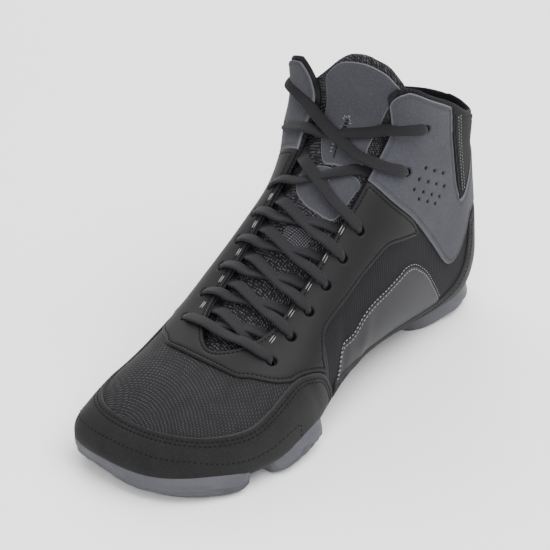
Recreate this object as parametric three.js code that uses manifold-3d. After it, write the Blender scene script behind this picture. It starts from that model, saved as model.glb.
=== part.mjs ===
// Left wrestling shoe, millimetres, +X to the toe, +Y to the wearer's left (the outer side), +Z up.
// A soft hollow upper of synthetic and mesh, rands and panels sewn on it, a padded tongue, an
// insole, a split rubber sole (toe and ball, heel) and a flat lace that crosses up to the ankle.
import * as THREE from 'three';
import { mergeVertices } from 'three/addons/utils/BufferGeometryUtils.js';
import Module from 'manifold-3d';

const wasm = await Module();
wasm.setup();

// Driving sizes
const LENGTH = 276; // back of the heel to the front of the toe
const BALL_WIDTH = 101;
const HEEL_WIDTH = 70;
const SHAFT_HEIGHT = 182; // highest section line of the shaft, above the bed
const BED = 5.5; // floor to the underside of the upper at the ball
const WALL = 2.5; // upper, lining and foam together
const OVERLAY = 1.3; // panels sewn on the upper
const CLEAR = 0.3; // between pieces that touch
const TOE_DOME = 3; // how far the toe bulges past its first section
const SOLE_SIDE = 2.5; // rubber standing out past the upper
const TONGUE_THICK = 5;
const TONGUE_PAD = 3; // extra thickness of the pad at the top
const INSOLE_THICK = 3;
const THROAT_HALF = 22; // half width of the lace opening
const THROAT_SHIFT = 2; // middle of the lace opening, out from the shoe's middle plane
const THROAT_DEPTH = 42;
const THROAT_SECTION = 4.1; // where the lace opening ends over the toes, in sections
const THROAT_SLOPE = 44; // degrees, lean of the lace opening over the instep
const EYELET_ROWS = 6; // along the lace opening, below the two rows on the ankle panels
const EYELET_FIRST = 14; // end of the lace opening to the first row, over the instep
const EYELET_INSET = 8; // edge of the lace opening to the middle of an eyelet
const EYELET_RADIUS = 2.3;
const EYELET_PITCH = 17.5;
const LACE_WIDTH = 7;
const LACE_THICK = 1.5;
const HEEL_REST = 42; // back of the heel to the flat between two of the heel's tread grooves
const TREAD_DEPTH = 1.5;
const TREAD_WIDTH = 3;
const TREAD_PITCH = 18;
const RIB_STEP = 3.4; // height from one rib of the sole's side to the next
const RIB_DEPTH = 0.9;
const RIB_GAP = 1.1;

const SEGMENTS = 16; // faces round a section

// Sections of the last, toe to shaft. Each is a plane across the shoe through a top point and a low
// point of the side view. X is a share of LENGTH, Z a share of SHAFT_HEIGHT above BED, and lateral,
// medial and ridge are shares of the half width, which goes from the ball's to the heel's with heel.
// belly is the height of the widest line, and the powers set how square the lower and upper halves are.
// The flares are shares of the half width too: how far the ankle panels' front corners stand out.
const COLUMNS = ['topX', 'topZ', 'lowX', 'lowZ', 'lateral', 'medial', 'ridge', 'belly',
  'lowPower', 'topPower', 'lateralFlare', 'medialFlare', 'heel'];
const SECTIONS = [
  [0.991, 0.104, 0.991, 0.042, 0.20, 0.74, -0.28, 0.36, 2.8, 2.2, 0, 0, 0],
  [0.970, 0.142, 0.970, 0.026, 0.45, 0.85, -0.22, 0.36, 3.2, 2.3, 0, 0, 0],
  [0.928, 0.180, 0.928, 0.010, 0.68, 0.91, -0.14, 0.34, 3.6, 2.4, 0, 0, 0],
  [0.864, 0.225, 0.864, 0.000, 0.89, 0.96, -0.08, 0.30, 3.8, 2.4, 0, 0, 0],
  [0.778, 0.270, 0.778, 0.000, 1.00, 0.98, -0.03, 0.28, 3.8, 2.4, 0, 0, 0],
  [0.684, 0.335, 0.684, 0.003, 0.99, 0.99, 0.00, 0.28, 3.4, 2.5, 0, 0, 0],
  [0.598, 0.425, 0.590, 0.016, 0.88, 0.95, 0.02, 0.31, 2.8, 2.7, 0, 0, 0],
  [0.524, 0.525, 0.490, 0.040, 0.85, 0.90, 0.03, 0.36, 2.5, 2.8, 0, 0, 0.1],
  [0.460, 0.615, 0.382, 0.040, 0.90, 0.94, 0.03, 0.40, 2.4, 2.8, 0, 0, 0.3],
  [0.412, 0.690, 0.268, 0.018, 1.00, 1.07, 0.02, 0.42, 2.5, 2.9, 0.04, 0.12, 0.7],
  [0.380, 0.745, 0.155, 0.002, 1.04, 1.12, 0.00, 0.42, 2.8, 3.2, 0.10, 0.38, 1],
  [0.362, 0.783, 0.078, 0.004, 1.00, 1.14, -0.02, 0.42, 2.8, 3.4, 0.12, 0.42, 1],
  [0.357, 0.808, 0.022, 0.055, 0.98, 1.16, -0.04, 0.44, 2.3, 3.6, 0.12, 0.40, 1],
  [0.358, 0.830, 0.008, 0.150, 0.98, 1.19, -0.05, 0.48, 2.1, 3.6, 0.12, 0.36, 1],
  [0.360, 0.852, 0.012, 0.270, 1.00, 1.21, -0.05, 0.50, 2.0, 3.6, 0.11, 0.31, 1],
  [0.363, 0.875, 0.026, 0.410, 1.03, 1.23, -0.05, 0.52, 2.0, 3.6, 0.10, 0.27, 1],
  [0.366, 0.900, 0.036, 0.540, 1.06, 1.25, -0.04, 0.54, 2.0, 3.6, 0.09, 0.23, 1],
  [0.369, 0.928, 0.034, 0.650, 1.09, 1.26, -0.03, 0.55, 2.0, 3.6, 0.08, 0.19, 1],
  [0.372, 0.962, 0.022, 0.740, 1.12, 1.27, -0.02, 0.56, 2.0, 3.6, 0.08, 0.17, 1],
  [0.375, 1.100, 0.018, 1.020, 1.13, 1.27, -0.02, 0.56, 2.0, 3.6, 0.08, 0.16, 1],
];
const LAST_SECTION = SECTIONS.length - 1;

function sizedSection(values) {
  const row = Object.fromEntries(COLUMNS.map((name, i) => [name, values[i]]));
  const half = THREE.MathUtils.lerp(BALL_WIDTH, HEEL_WIDTH, row.heel) / 2;
  row.topX *= LENGTH;
  row.lowX *= LENGTH;
  row.topZ = BED + row.topZ * SHAFT_HEIGHT;
  row.lowZ = BED + row.lowZ * SHAFT_HEIGHT;
  row.lateral *= half;
  row.medial *= half;
  row.ridge *= half;
  row.lateralFlare *= half;
  row.medialFlare *= half;
  return row;
}
const sized = SECTIONS.map(sizedSection);

// Smooth values between the sections, which are counted from 0 at the toe.
function sectionAt(u) {
  const index = Math.min(Math.floor(u), LAST_SECTION - 1);
  const t = u - index;
  const before = sized[Math.max(index - 1, 0)];
  const [start, end] = [sized[index], sized[index + 1]];
  const after = sized[Math.min(index + 2, LAST_SECTION)];
  const row = {};
  for (const name of COLUMNS) {
    const slopeIn = (end[name] - before[name]) / 2;
    const slopeOut = (after[name] - start[name]) / 2;
    row[name] = start[name] * (1 + 2 * t) * (1 - t) ** 2 + slopeIn * t * (1 - t) ** 2
      + end[name] * (3 - 2 * t) * t ** 2 + slopeOut * (t - 1) * t ** 2;
  }
  return row;
}

// The flare round the upper half, from 0 on top to 1 at the corner and back to 0 lower down the side.
const FLARE_CORNER = 45;
const FLARE_END = 135;
function flareShare(fromTop) {
  const t = fromTop < FLARE_CORNER ? fromTop / FLARE_CORNER
    : (FLARE_END - fromTop) / (FLARE_END - FLARE_CORNER);
  return (1 - Math.cos(Math.PI * THREE.MathUtils.clamp(t, 0, 1))) / 2;
}

const TOE_FRONT = 2; // from this section to the tip, growing the last also moves it forward

// A point of the last, grown by a distance and with its low side dropped by another. The angle goes
// round the section in degrees: 0 below, 90 on the lateral side, 180 on top, -90 on the medial side.
// From u = -1 to 0 the first section closes to the toe's tip as a dome.
function lastPoint(u, angle, grow = 0, drop = 0) {
  const row = sectionAt(Math.max(u, 0));
  const rise = new THREE.Vector2(row.topX - row.lowX, row.topZ - row.lowZ).normalize();
  const top = new THREE.Vector2(row.topX, row.topZ).addScaledVector(rise, grow);
  const low = new THREE.Vector2(row.lowX, row.lowZ).addScaledVector(rise, -grow);
  low.y -= drop * Math.max(rise.y, 0);
  const turn = THREE.MathUtils.euclideanModulo(angle + 180, 360) - 180;
  const lower = Math.abs(turn) <= 90;
  const q = THREE.MathUtils.degToRad(lower ? Math.abs(turn) : 180 - Math.abs(turn));
  const power = 2 / (lower ? row.lowPower : row.topPower);
  const reach = turn >= 0 ? row.lateral - row.ridge : row.medial + row.ridge;
  const flare = (turn >= 0 ? row.lateralFlare : row.medialFlare) * flareShare(180 - Math.abs(turn));
  const out = (reach + grow) * Math.sin(q) ** power + flare;
  const along = Math.max(Math.cos(q), 0) ** power;
  const height = lower ? row.belly * (1 - along) : 1 - (1 - row.belly) * (1 - along);
  const level = low.clone().lerp(top, height);
  const point = new THREE.Vector3(level.x, row.ridge + Math.sign(turn || 1) * out, level.y);
  if (u < 0) {
    const belly = low.clone().lerp(top, row.belly);
    const middle = new THREE.Vector3(belly.x, row.ridge, belly.y);
    point.lerp(middle, -u);
    point.x += (1 - (1 + u) ** 2) * TOE_DOME;
  }
  point.x += grow * (Math.max(TOE_FRONT - u, 0) / (TOE_FRONT + 1)) ** 2;
  return point;
}

// The angle at which a section's upper half lies at a given distance from the shoe's middle plane.
function angleAtY(u, y) {
  const { ridge } = sectionAt(u);
  const side = y >= ridge ? 1 : -1;
  let [low, high] = [0, 90];
  while (high - low > 1e-3) {
    const q = (low + high) / 2;
    if (Math.abs(lastPoint(u, side * (180 - q)).y - ridge) < Math.abs(y - ridge)) low = q;
    else high = q;
  }
  return side * (180 - low);
}

// The section through a place in the side view, and the angle at which it passes there, in degrees.
function placeOnSide([x, z]) {
  const place = new THREE.Vector2(x, z);
  let [low, high] = [0, LAST_SECTION];
  let share = 0;
  const HALVINGS = 40;
  for (let i = 0; i < HALVINGS; i += 1) {
    const row = sectionAt((low + high) / 2);
    const start = new THREE.Vector2(row.lowX, row.lowZ);
    const rise = new THREE.Vector2(row.topX, row.topZ).sub(start);
    const reach = place.clone().sub(start);
    share = reach.dot(rise) / rise.lengthSq();
    if (rise.cross(reach) > 0) low = (low + high) / 2;
    else high = (low + high) / 2;
  }
  const row = sectionAt(low);
  const lower = share <= row.belly;
  const along = lower ? 1 - share / row.belly : 1 - (1 - share) / (1 - row.belly);
  const q = THREE.MathUtils.radToDeg(Math.acos(along ** ((lower ? row.lowPower : row.topPower) / 2)));
  return { u: low, angle: lower ? q : 180 - q };
}

// Solids
function solidOf(geometry) {
  geometry.deleteAttribute('normal');
  geometry.deleteAttribute('uv');
  const merged = mergeVertices(geometry, 1e-4);
  const vertProperties = Float32Array.from(merged.attributes.position.array);
  const triVerts = Uint32Array.from(merged.index.array);
  return new wasm.Manifold(new wasm.Mesh({ numProp: 3, vertProperties, triVerts }));
}

// A closed skin over rings of equal count, with a point closing each end.
function loft(rings, first, last) {
  const count = rings[0].length;
  const points = [first, ...rings.flat(), last];
  const index = [];
  const end = points.length - 1;
  const at = (ring, k) => 1 + ring * count + (k % count);
  for (let k = 0; k < count; k += 1) {
    index.push(0, at(0, k + 1), at(0, k));
    index.push(end, at(rings.length - 1, k), at(rings.length - 1, k + 1));
    for (let ring = 0; ring < rings.length - 1; ring += 1) {
      index.push(at(ring, k), at(ring, k + 1), at(ring + 1, k + 1));
      index.push(at(ring, k), at(ring + 1, k + 1), at(ring + 1, k));
    }
  }
  let volume = 0;
  for (let i = 0; i < index.length; i += 3) {
    const [a, b, c] = [points[index[i]], points[index[i + 1]], points[index[i + 2]]];
    volume += a.dot(b.clone().cross(c));
  }
  if (volume < 0) index.reverse();
  const geometry = new THREE.BufferGeometry().setFromPoints(points);
  geometry.setIndex(index);
  return solidOf(geometry);
}

const middleOf = (ring) => ring.reduce((sum, p) => sum.add(p), new THREE.Vector3())
  .divideScalar(ring.length);

// Where the solids have their rings, closest at the toe and over the instep.
const stations = [-0.9, -0.6, -0.25, 0, 0.5, 1, 1.5, 2, 2.7, 3.4, 4.1, 4.8, 5.5, 6.2, 6.9, 7.6, 8.3, 9,
  10, 11, 12, 13, 14, 15.5, 17.5, LAST_SECTION];

function lastSolid(grow, drop = 0) {
  const rings = stations.map((u) => Array.from({ length: SEGMENTS }, (_, k) =>
    lastPoint(u, (k * 360) / SEGMENTS, grow, drop)));
  return loft(rings, lastPoint(-1, 0, grow, drop), middleOf(rings.at(-1)));
}

// Outlines. A run is a smooth curve through its points, and runs meet at corners.
function outline(...runs) {
  const points = [];
  for (const run of runs) {
    const knots = run.map(([x, y]) => new THREE.Vector2(x, y));
    const steps = knots.length > 2 ? (knots.length - 1) * 2 : 1;
    points.push(...new THREE.SplineCurve(knots).getPoints(steps).slice(0, -1));
  }
  return new THREE.Shape(points);
}

// The same outline moved out by a distance, to cut a neighbour clear of the piece.
function grown(shape, distance) {
  const points = shape.getPoints();
  const turn = THREE.ShapeUtils.area(points) > 0 ? 1 : -1;
  return new THREE.Shape(points.map((point, i) => {
    const before = points[(i + points.length - 1) % points.length];
    const after = points[(i + 1) % points.length];
    const along = after.clone().sub(before).normalize();
    return new THREE.Vector2(point.x + along.y * distance * turn, point.y - along.x * distance * turn);
  }));
}

const prism = (shape, depth) => new THREE.ExtrudeGeometry(shape, { depth, bevelEnabled: false });
// Side view: X and Z, from one Y to another.
const sidePrism = (shape, fromY, toY) => solidOf(
  prism(shape, toY - fromY).rotateX(Math.PI / 2).translate(0, toY, 0));
// Plan view: X and Y, from one height to another.
const planPrism = (shape, fromZ, toZ) => solidOf(prism(shape, toZ - fromZ).translate(0, 0, fromZ));
// A place in the side view by its shares of LENGTH and SHAFT_HEIGHT.
const at = (x, z) => [x * LENGTH, BED + z * SHAFT_HEIGHT];
const WIDE = BALL_WIDTH; // past either side of the shoe
const BELOW = -0.2; // under the floor and over the tongue, as shares of SHAFT_HEIGHT
const ABOVE = 1.4;

// Instep view: the first number runs up the lace opening, the second is Y.
const slope = THREE.MathUtils.degToRad(THROAT_SLOPE);
const throatUp = new THREE.Vector3(-Math.cos(slope), 0, Math.sin(slope));
const throatIn = throatUp.clone().cross(new THREE.Vector3(0, 1, 0));
const throatFrame = new THREE.Matrix4()
  .makeBasis(throatUp, new THREE.Vector3(0, 1, 0), throatIn)
  .setPosition(lastPoint(THROAT_SECTION, 180).addScaledVector(throatIn, -THROAT_DEPTH));
const throatPrism = (shape) => solidOf(prism(shape, THROAT_DEPTH * 2).applyMatrix4(throatFrame));
const THROAT_REACH = SHAFT_HEIGHT * 1.2; // past the collar

function throatOutline(half, front) {
  const y = (share) => THROAT_SHIFT + share * half;
  return outline(
    [[THROAT_REACH, y(-1.15)], [THROAT_REACH * 0.6, y(-1.05)], [front + half * 2.5, y(-0.98)],
      [front + half * 0.8, y(-0.82)], [front, y(0)], [front + half * 0.8, y(0.82)],
      [front + half * 2.5, y(0.98)], [THROAT_REACH * 0.6, y(1.05)], [THROAT_REACH, y(1.15)]],
    [[THROAT_REACH, y(1.15)], [THROAT_REACH, y(-1.15)]],
  );
}

// Rubber of the split sole. Its top edge, where it meets the rands, in shares along the side view.
const toeFeather = [at(1.1, 0.056), at(0.98, 0.044), at(0.93, 0.034), at(0.88, 0.028), at(0.80, 0.030),
  at(0.74, 0.046), at(0.68, 0.062), at(0.645, 0.052), at(0.61, 0.0)];
const heelFeather = [at(0.27, 0.0), at(0.22, 0.026), at(0.14, 0.034), at(0.06, 0.036), at(-0.1, 0.038)];
const forefootSide = outline(toeFeather, [at(0.61, 0), at(0.61, BELOW)], [at(0.61, BELOW), at(1.1, BELOW)],
  [at(1.1, BELOW), at(1.1, 0.056)]);
const heelSide = outline(heelFeather, [at(-0.1, 0.038), at(-0.1, BELOW)],
  [at(-0.1, BELOW), at(0.27, BELOW)], [at(0.27, BELOW), at(0.27, 0)]);

const outer = lastSolid(0);
const inner = lastSolid(-WALL);
const outerClear = lastSolid(CLEAR);
const soleForm = lastSolid(SOLE_SIDE, BED);
const ribCore = lastSolid(SOLE_SIDE - RIB_DEPTH, BED);
const underFloor = solidOf(new THREE.BoxGeometry(LENGTH * 2, WIDE * 2, BED * 4)
  .translate(LENGTH / 2, 0, -BED * 2));

function boxBetween(low, high) {
  const size = high.map((value, i) => value - low[i]);
  const middle = high.map((value, i) => (value + low[i]) / 2);
  return solidOf(new THREE.BoxGeometry(...size).translate(...middle));
}

// Grooves round the side of the rubber, which leave the ribs, and flex grooves across its tread.
function rubber(side, ribs, ribEnds, treadEnds) {
  let body = soleForm.intersect(sidePrism(side, -WIDE, WIDE)).subtract(outerClear).subtract(underFloor);
  for (let rib = 1; rib <= ribs; rib += 1) {
    const z = rib * RIB_STEP;
    const slot = boxBetween([ribEnds[0], -WIDE, z], [ribEnds[1], WIDE, z + RIB_GAP]);
    body = body.subtract(slot.subtract(ribCore));
  }
  for (let x = treadEnds[0]; x <= treadEnds[1]; x += TREAD_PITCH) {
    body = body.subtract(boxBetween([x, -WIDE, -BED], [x + TREAD_WIDTH, WIDE, TREAD_DEPTH]));
  }
  return body;
}
// The bare notch on the outer side between the toe's rubber and the ball's.
const notch = sidePrism(outline([at(0.862, 0.06), at(0.850, 0.0), at(0.842, -0.02), at(0.830, 0.0),
  at(0.812, 0.06)], [at(0.812, 0.06), at(0.862, 0.06)]), BALL_WIDTH * 0.36, WIDE);
const forefootOutsole = rubber(forefootSide, 2, [LENGTH * 0.68, LENGTH * 1.1],
  [LENGTH * 0.65, LENGTH * 0.93]).subtract(notch);
const heelOutsole = rubber(heelSide, 2, [-LENGTH * 0.1, LENGTH * 0.2], [LENGTH * 0.05, LENGTH * 0.22]);

// The upper: a hollow wall, open at the collar, the throat and under the rubber.
const collarLine = [at(0.46, 0.80), at(0.41, 0.872), at(0.372, 0.916), at(0.335, 0.922), at(0.28, 0.872),
  at(0.216, 0.815), at(0.15, 0.745), at(0.08, 0.705), at(-0.1, 0.70)];
const aboveCollar = sidePrism(outline(collarLine, [at(-0.1, 0.70), at(-0.1, ABOVE)],
  [at(-0.1, ABOVE), at(0.46, ABOVE)], [at(0.46, ABOVE), at(0.46, 0.80)]), -WIDE, WIDE);
const throat = throatPrism(throatOutline(THROAT_HALF, 0));

// Plan outline of the last's underside between two sections, in from its edge.
function soleOutline(fromU, toU, inset) {
  const lateral = [];
  const medial = [];
  for (let u = fromU; u <= toU; u += 0.5) {
    const row = sectionAt(u);
    lateral.push([row.lowX, Math.max(row.lateral - inset, row.ridge + 1)]);
    medial.unshift([row.lowX, Math.min(inset - row.medial, row.ridge - 1)]);
  }
  return outline(lateral, [lateral.at(-1), medial[0]], medial, [medial.at(-1), lateral[0]]);
}
const SOLE_OPENING_INSET = 14;
const FOREFOOT_OPENING = [1.5, 5.5]; // from one section to another
const HEEL_OPENING = [9.5, 11];
const [footOpening, heelOpening] = [FOREFOOT_OPENING, HEEL_OPENING].map(([from, to]) =>
  planPrism(soleOutline(from, to, SOLE_OPENING_INSET), -BED, BED + WALL * 2));

// Eyelet rows, spaced over the instep's ridge.
function ridgeSection(distance) {
  const STEP = 0.02;
  let u = THROAT_SECTION;
  let gone = 0;
  while (gone < distance) {
    gone += lastPoint(u, 180).distanceTo(lastPoint(u + STEP, 180));
    u += STEP;
  }
  return u;
}
const sideY = (side) => THROAT_SHIFT + side * (THROAT_HALF + EYELET_INSET);
const stayEyelets = (side) => Array.from({ length: EYELET_ROWS }, (_, i) => {
  const u = ridgeSection(EYELET_FIRST + i * EYELET_PITCH);
  return { u, angle: angleAtY(u, sideY(side)) };
});
// The two on each ankle panel, by their places in the side view.
const flapEyelets = (side) => [at(0.333, 0.645), at(0.289, 0.765)].map((place) => {
  const { u, angle } = placeOnSide(place);
  return { u, angle: side * angle };
});
const lateralEyelets = [...stayEyelets(1), ...flapEyelets(1)];
const medialEyelets = [...stayEyelets(-1), ...flapEyelets(-1)];

function outwardAt(u, angle) {
  return lastPoint(u, angle, 1).sub(lastPoint(u, angle)).normalize();
}
function eyeletHole({ u, angle }) {
  const middle = lastPoint(u, angle);
  const turn = new THREE.Quaternion().setFromUnitVectors(new THREE.Vector3(0, 1, 0),
    outwardAt(u, angle));
  const pin = new THREE.CylinderGeometry(EYELET_RADIUS, EYELET_RADIUS, WALL * 6, 6);
  return solidOf(pin.applyQuaternion(turn).translate(middle.x, middle.y, middle.z));
}
const eyelets = [...lateralEyelets, ...medialEyelets].map(eyeletHole);
const punched = (body) => eyelets.reduce((rest, hole) => rest.subtract(hole), body);

const upper = punched(outer.subtract(inner).subtract(aboveCollar).subtract(throat)
  .subtract(footOpening).subtract(heelOpening));

// Panels sewn on the upper, all cut from one thin skin just clear of it. Each outline is a side view.
const overlaySkin = lastSolid(CLEAR + OVERLAY).subtract(outerClear).subtract(aboveCollar);
const forefootClear = sidePrism(grown(forefootSide, CLEAR), -WIDE, WIDE);
const heelClear = sidePrism(grown(heelSide, CLEAR), -WIDE, WIDE);
const panelSkin = overlaySkin.subtract(forefootClear).subtract(heelClear);
const panel = (shape, fromY = -WIDE, toY = WIDE) => panelSkin.intersect(sidePrism(shape, fromY, toY));

const toeRandShape = outline(
  [at(1.1, 0.152), at(0.955, 0.156), at(0.896, 0.156), at(0.832, 0.160), at(0.783, 0.182),
    at(0.745, 0.205), at(0.705, 0.225), at(0.668, 0.224), at(0.634, 0.200), at(0.608, 0.140),
    at(0.596, 0.060), at(0.590, BELOW)],
  [at(0.590, BELOW), at(1.1, BELOW)], [at(1.1, BELOW), at(1.1, 0.152)]);
const heelRandShape = outline(
  [at(-0.1, 0.352), at(0.06, 0.350), at(0.120, 0.338)],
  [at(0.120, 0.338), at(0.124, 0.250), at(0.132, 0.185), at(0.160, 0.130), at(0.210, 0.106),
    at(0.300, 0.116), at(0.400, 0.126), at(0.500, 0.138), at(0.590, 0.130)],
  [at(0.590, 0.130), at(0.590, BELOW)], [at(0.590, BELOW), at(-0.1, BELOW)],
  [at(-0.1, BELOW), at(-0.1, 0.352)]);
const heelPatchShape = outline(
  [at(0.112, 0.330), at(0.150, 0.440), at(0.176, 0.552), at(0.205, 0.690), at(0.225, 0.90)],
  [at(0.225, 0.90), at(-0.1, 0.90)], [at(-0.1, 0.90), at(-0.1, 0.330)],
  [at(-0.1, 0.330), at(0.112, 0.330)]);
const ankleShape = outline(
  [at(0.500, 0.900), at(0.430, 0.700), at(0.385, 0.585), at(0.325, 0.486), at(0.262, 0.360),
    at(0.218, 0.268), at(0.192, 0.246), at(0.166, 0.266), at(0.140, 0.318), at(0.122, 0.372)],
  [at(0.122, 0.372), at(0.158, 0.455), at(0.180, 0.552), at(0.209, 0.690), at(0.229, 0.90)],
  [at(0.229, 0.90), at(0.26, 1.0), at(0.36, 1.1)],
  [at(0.36, 1.1), at(0.500, 0.900)]);
const eyestayShape = outline(
  [at(0.812, 0.500), at(0.806, 0.300), at(0.792, 0.254), at(0.769, 0.247), at(0.741, 0.233),
    at(0.715, 0.226)],
  [at(0.715, 0.226), at(0.668, 0.150)], [at(0.668, 0.150), at(0.614, 0.150)],
  [at(0.614, 0.150), at(0.618, 0.190), at(0.622, 0.239), at(0.613, 0.279), at(0.600, 0.309),
    at(0.567, 0.338), at(0.530, 0.366), at(0.486, 0.404), at(0.444, 0.436), at(0.410, 0.455),
    at(0.370, 0.448), at(0.310, 0.430)],
  [at(0.310, 0.430), at(0.430, 0.800)], [at(0.430, 0.800), at(0.812, 0.800)],
  [at(0.812, 0.800), at(0.812, 0.500)]);

const PANEL_GAP = CLEAR * 1.5; // between the edges of two panels
const throatClear = throatPrism(throatOutline(THROAT_HALF + CLEAR, -CLEAR));
const toeRand = panel(toeRandShape);
const heelRand = panel(heelRandShape).subtract(sidePrism(grown(toeRandShape, PANEL_GAP), -WIDE, WIDE));
const heelPatch = panel(heelPatchShape)
  .subtract(sidePrism(grown(heelRandShape, PANEL_GAP), -WIDE, WIDE));
const ankleNeighbours = sidePrism(grown(heelPatchShape, PANEL_GAP), -WIDE, WIDE)
  .add(sidePrism(grown(heelRandShape, PANEL_GAP), -WIDE, WIDE));
const ankle = (fromY, toY) => punched(panel(ankleShape, fromY, toY).subtract(ankleNeighbours)
  .subtract(throatClear));
const eyestay = punched(panel(eyestayShape).subtract(throatClear)
  .subtract(sidePrism(grown(toeRandShape, PANEL_GAP), -WIDE, WIDE))
  .subtract(sidePrism(grown(ankleShape, PANEL_GAP), -WIDE, WIDE)));

// The tongue lies under the throat's edges and rises past the collar as a thick pad.
const tongueOuter = lastSolid(-WALL - CLEAR);
const tongueInner = lastSolid(-WALL - CLEAR - TONGUE_THICK);
const TONGUE_LAP = 9; // under each edge of the throat
const tongueBand = throatPrism(throatOutline(THROAT_HALF + TONGUE_LAP, -TONGUE_LAP * 1.4));
const tonguePadInner = lastSolid(-WALL - CLEAR - TONGUE_THICK - TONGUE_PAD);
// Front view: Y and Z, from one X to another.
const frontPrism = (shape, fromX, toX) => solidOf(prism(shape, toX - fromX)
  .applyMatrix4(new THREE.Matrix4().makeBasis(new THREE.Vector3(0, 1, 0), new THREE.Vector3(0, 0, 1),
    new THREE.Vector3(1, 0, 0))).translate(fromX, 0, 0));
const tongueY = (share) => THROAT_SHIFT + share * (THROAT_HALF + TONGUE_LAP);
const level = (share) => BED + share * SHAFT_HEIGHT;
const tongueFront = frontPrism(outline(
  [[tongueY(1.1), level(0.86)], [tongueY(0.94), level(0.93)], [tongueY(0.68), level(0.99)],
    [tongueY(0), level(1.012)], [tongueY(-0.68), level(0.985)], [tongueY(-0.94), level(0.925)],
    [tongueY(-1.1), level(0.86)]],
  [[tongueY(-1.1), level(0.86)], [tongueY(-1.3), level(0)]],
  [[tongueY(-1.3), level(0)], [tongueY(1.3), level(0)]],
  [[tongueY(1.3), level(0)], [tongueY(1.1), level(0.86)]]), LENGTH * 0.27, LENGTH);
const padReach = boxBetween([0, -WIDE, level(0.80)], [LENGTH, WIDE, level(ABOVE)]);
const tongue = tongueOuter.subtract(tongueInner.subtract(padReach)).subtract(tonguePadInner)
  .intersect(tongueBand).intersect(tongueFront);

const shoe = new THREE.Group();
shoe.position.x = -HEEL_REST;

// The insole fills the bottom of the upper.
const insoleForm = tongueOuter;
function insoleSide() {
  const line = [];
  for (let u = 1; u <= 11; u += 1) {
    const row = sectionAt(u);
    line.push([row.lowX, row.lowZ + WALL + CLEAR + INSOLE_THICK]);
  }
  const [front, back] = [line[0], line.at(-1)];
  return outline([[LENGTH * 1.1, front[1] + 1], ...line, [-LENGTH * 0.1, back[1] + 2]],
    [[-LENGTH * 0.1, back[1] + 2], at(-0.1, BELOW)], [at(-0.1, BELOW), at(1.1, BELOW)],
    [at(1.1, BELOW), [LENGTH * 1.1, front[1] + 1]]);
}
const insole = insoleForm.intersect(sidePrism(insoleSide(), -WIDE, WIDE));

// The lace, a flat ribbon. Its width lies along the given directions.
function ribbon(path, widths, wide = LACE_WIDTH, thick = LACE_THICK) {
  const rings = path.map((point, i) => {
    const along = path[Math.min(i + 1, path.length - 1)].clone().sub(path[Math.max(i - 1, 0)]).normalize();
    const width = widths[i].clone().addScaledVector(along, -widths[i].dot(along)).normalize();
    const up = along.clone().cross(width);
    return [[1, 1], [-1, 1], [-1, -1], [1, -1]].map(([a, b]) => point.clone()
      .addScaledVector(width, (a * wide) / 2).addScaledVector(up, (b * thick) / 2));
  });
  return loft(rings, path[0], path.at(-1));
}

const LACE_LIFT = OVERLAY + CLEAR * 4 + LACE_THICK / 2; // middle of a crossing over the upper
const CROSSING_STEPS = 6;
const CROSSING_REACH = 3; // sections searched past a crossing's ends

// A taut crossing lies in the plane of its two eyelets that stands square on the instep between them.
function crossing(from, to) {
  const [start, end] = [from, to].map(({ u, angle }) => lastPoint(u, angle, LACE_LIFT));
  const [lowU, highU] = [Math.min(from.u, to.u), Math.max(from.u, to.u)];
  const upTheRidge = lastPoint(highU + 0.5, 180).sub(lastPoint(lowU - 0.5, 180));
  const outward = new THREE.Vector3(0, 1, 0).cross(upTheRidge);
  const across = end.clone().sub(start);
  const upward = across.clone().cross(outward);
  if (upward.dot(upTheRidge) < 0) upward.negate();
  const [fromAngle, toAngle] = [from, to].map(({ angle }) => THREE.MathUtils.euclideanModulo(angle, 360));
  const path = [];
  const ups = [];
  for (let i = 0; i <= CROSSING_STEPS; i += 1) {
    const angle = THREE.MathUtils.lerp(fromAngle, toAngle, i / CROSSING_STEPS);
    let [low, high] = [lowU - CROSSING_REACH, Math.min(highU + CROSSING_REACH, LAST_SECTION)];
    while (high - low > 1e-3) {
      const u = (low + high) / 2;
      if (lastPoint(u, angle, LACE_LIFT).sub(start).dot(upward) < 0) low = u;
      else high = u;
    }
    path.push(lastPoint(low, angle, LACE_LIFT));
    ups.push(outwardAt(low, angle));
  }
  const widths = ups.map((up, i) => up.cross(
    path[Math.min(i + 1, CROSSING_STEPS)].clone().sub(path[Math.max(i - 1, 0)])));
  return ribbon(path, widths);
}
const crossings = [crossing(lateralEyelets[0], medialEyelets[0])];
for (let i = 0; i < lateralEyelets.length - 1; i += 1) {
  crossings.push(crossing(lateralEyelets[i], medialEyelets[i + 1]));
  crossings.push(crossing(medialEyelets[i], lateralEyelets[i + 1]));
}
const laceCrossings = crossings.reduce((lace, piece) => lace.add(piece))
  .subtract(lastSolid(OVERLAY + CLEAR * 2));

function add(name, body, colour, roughness) {
  const { vertProperties, triVerts } = body.getMesh();
  const geometry = new THREE.BufferGeometry();
  geometry.setAttribute('position', new THREE.BufferAttribute(vertProperties, 3));
  geometry.setIndex(new THREE.BufferAttribute(triVerts, 1));
  geometry.computeVertexNormals();
  const material = new THREE.MeshStandardMaterial({ color: colour, roughness, metalness: 0 });
  const mesh = new THREE.Mesh(geometry, material);
  mesh.name = name;
  shoe.add(mesh);
}
add('upper', upper, '#34343a', 0.9);
add('forefoot_outsole', forefootOutsole, '#5f6066', 0.6);
add('heel_outsole', heelOutsole, '#5f6066', 0.6);
add('insole', insole, '#3a3a40', 0.95);
add('tongue', tongue, '#5d5e63', 0.95);
add('toe_rand', toeRand, '#3a3a3a', 0.95);
add('heel_rand', heelRand, '#3a3a3a', 0.95);
add('heel_patch', heelPatch, '#333338', 0.9);
add('ankle_lateral', ankle(0, WIDE), '#66676c', 0.95);
add('ankle_medial', ankle(-WIDE, 0), '#66676c', 0.95);
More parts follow.
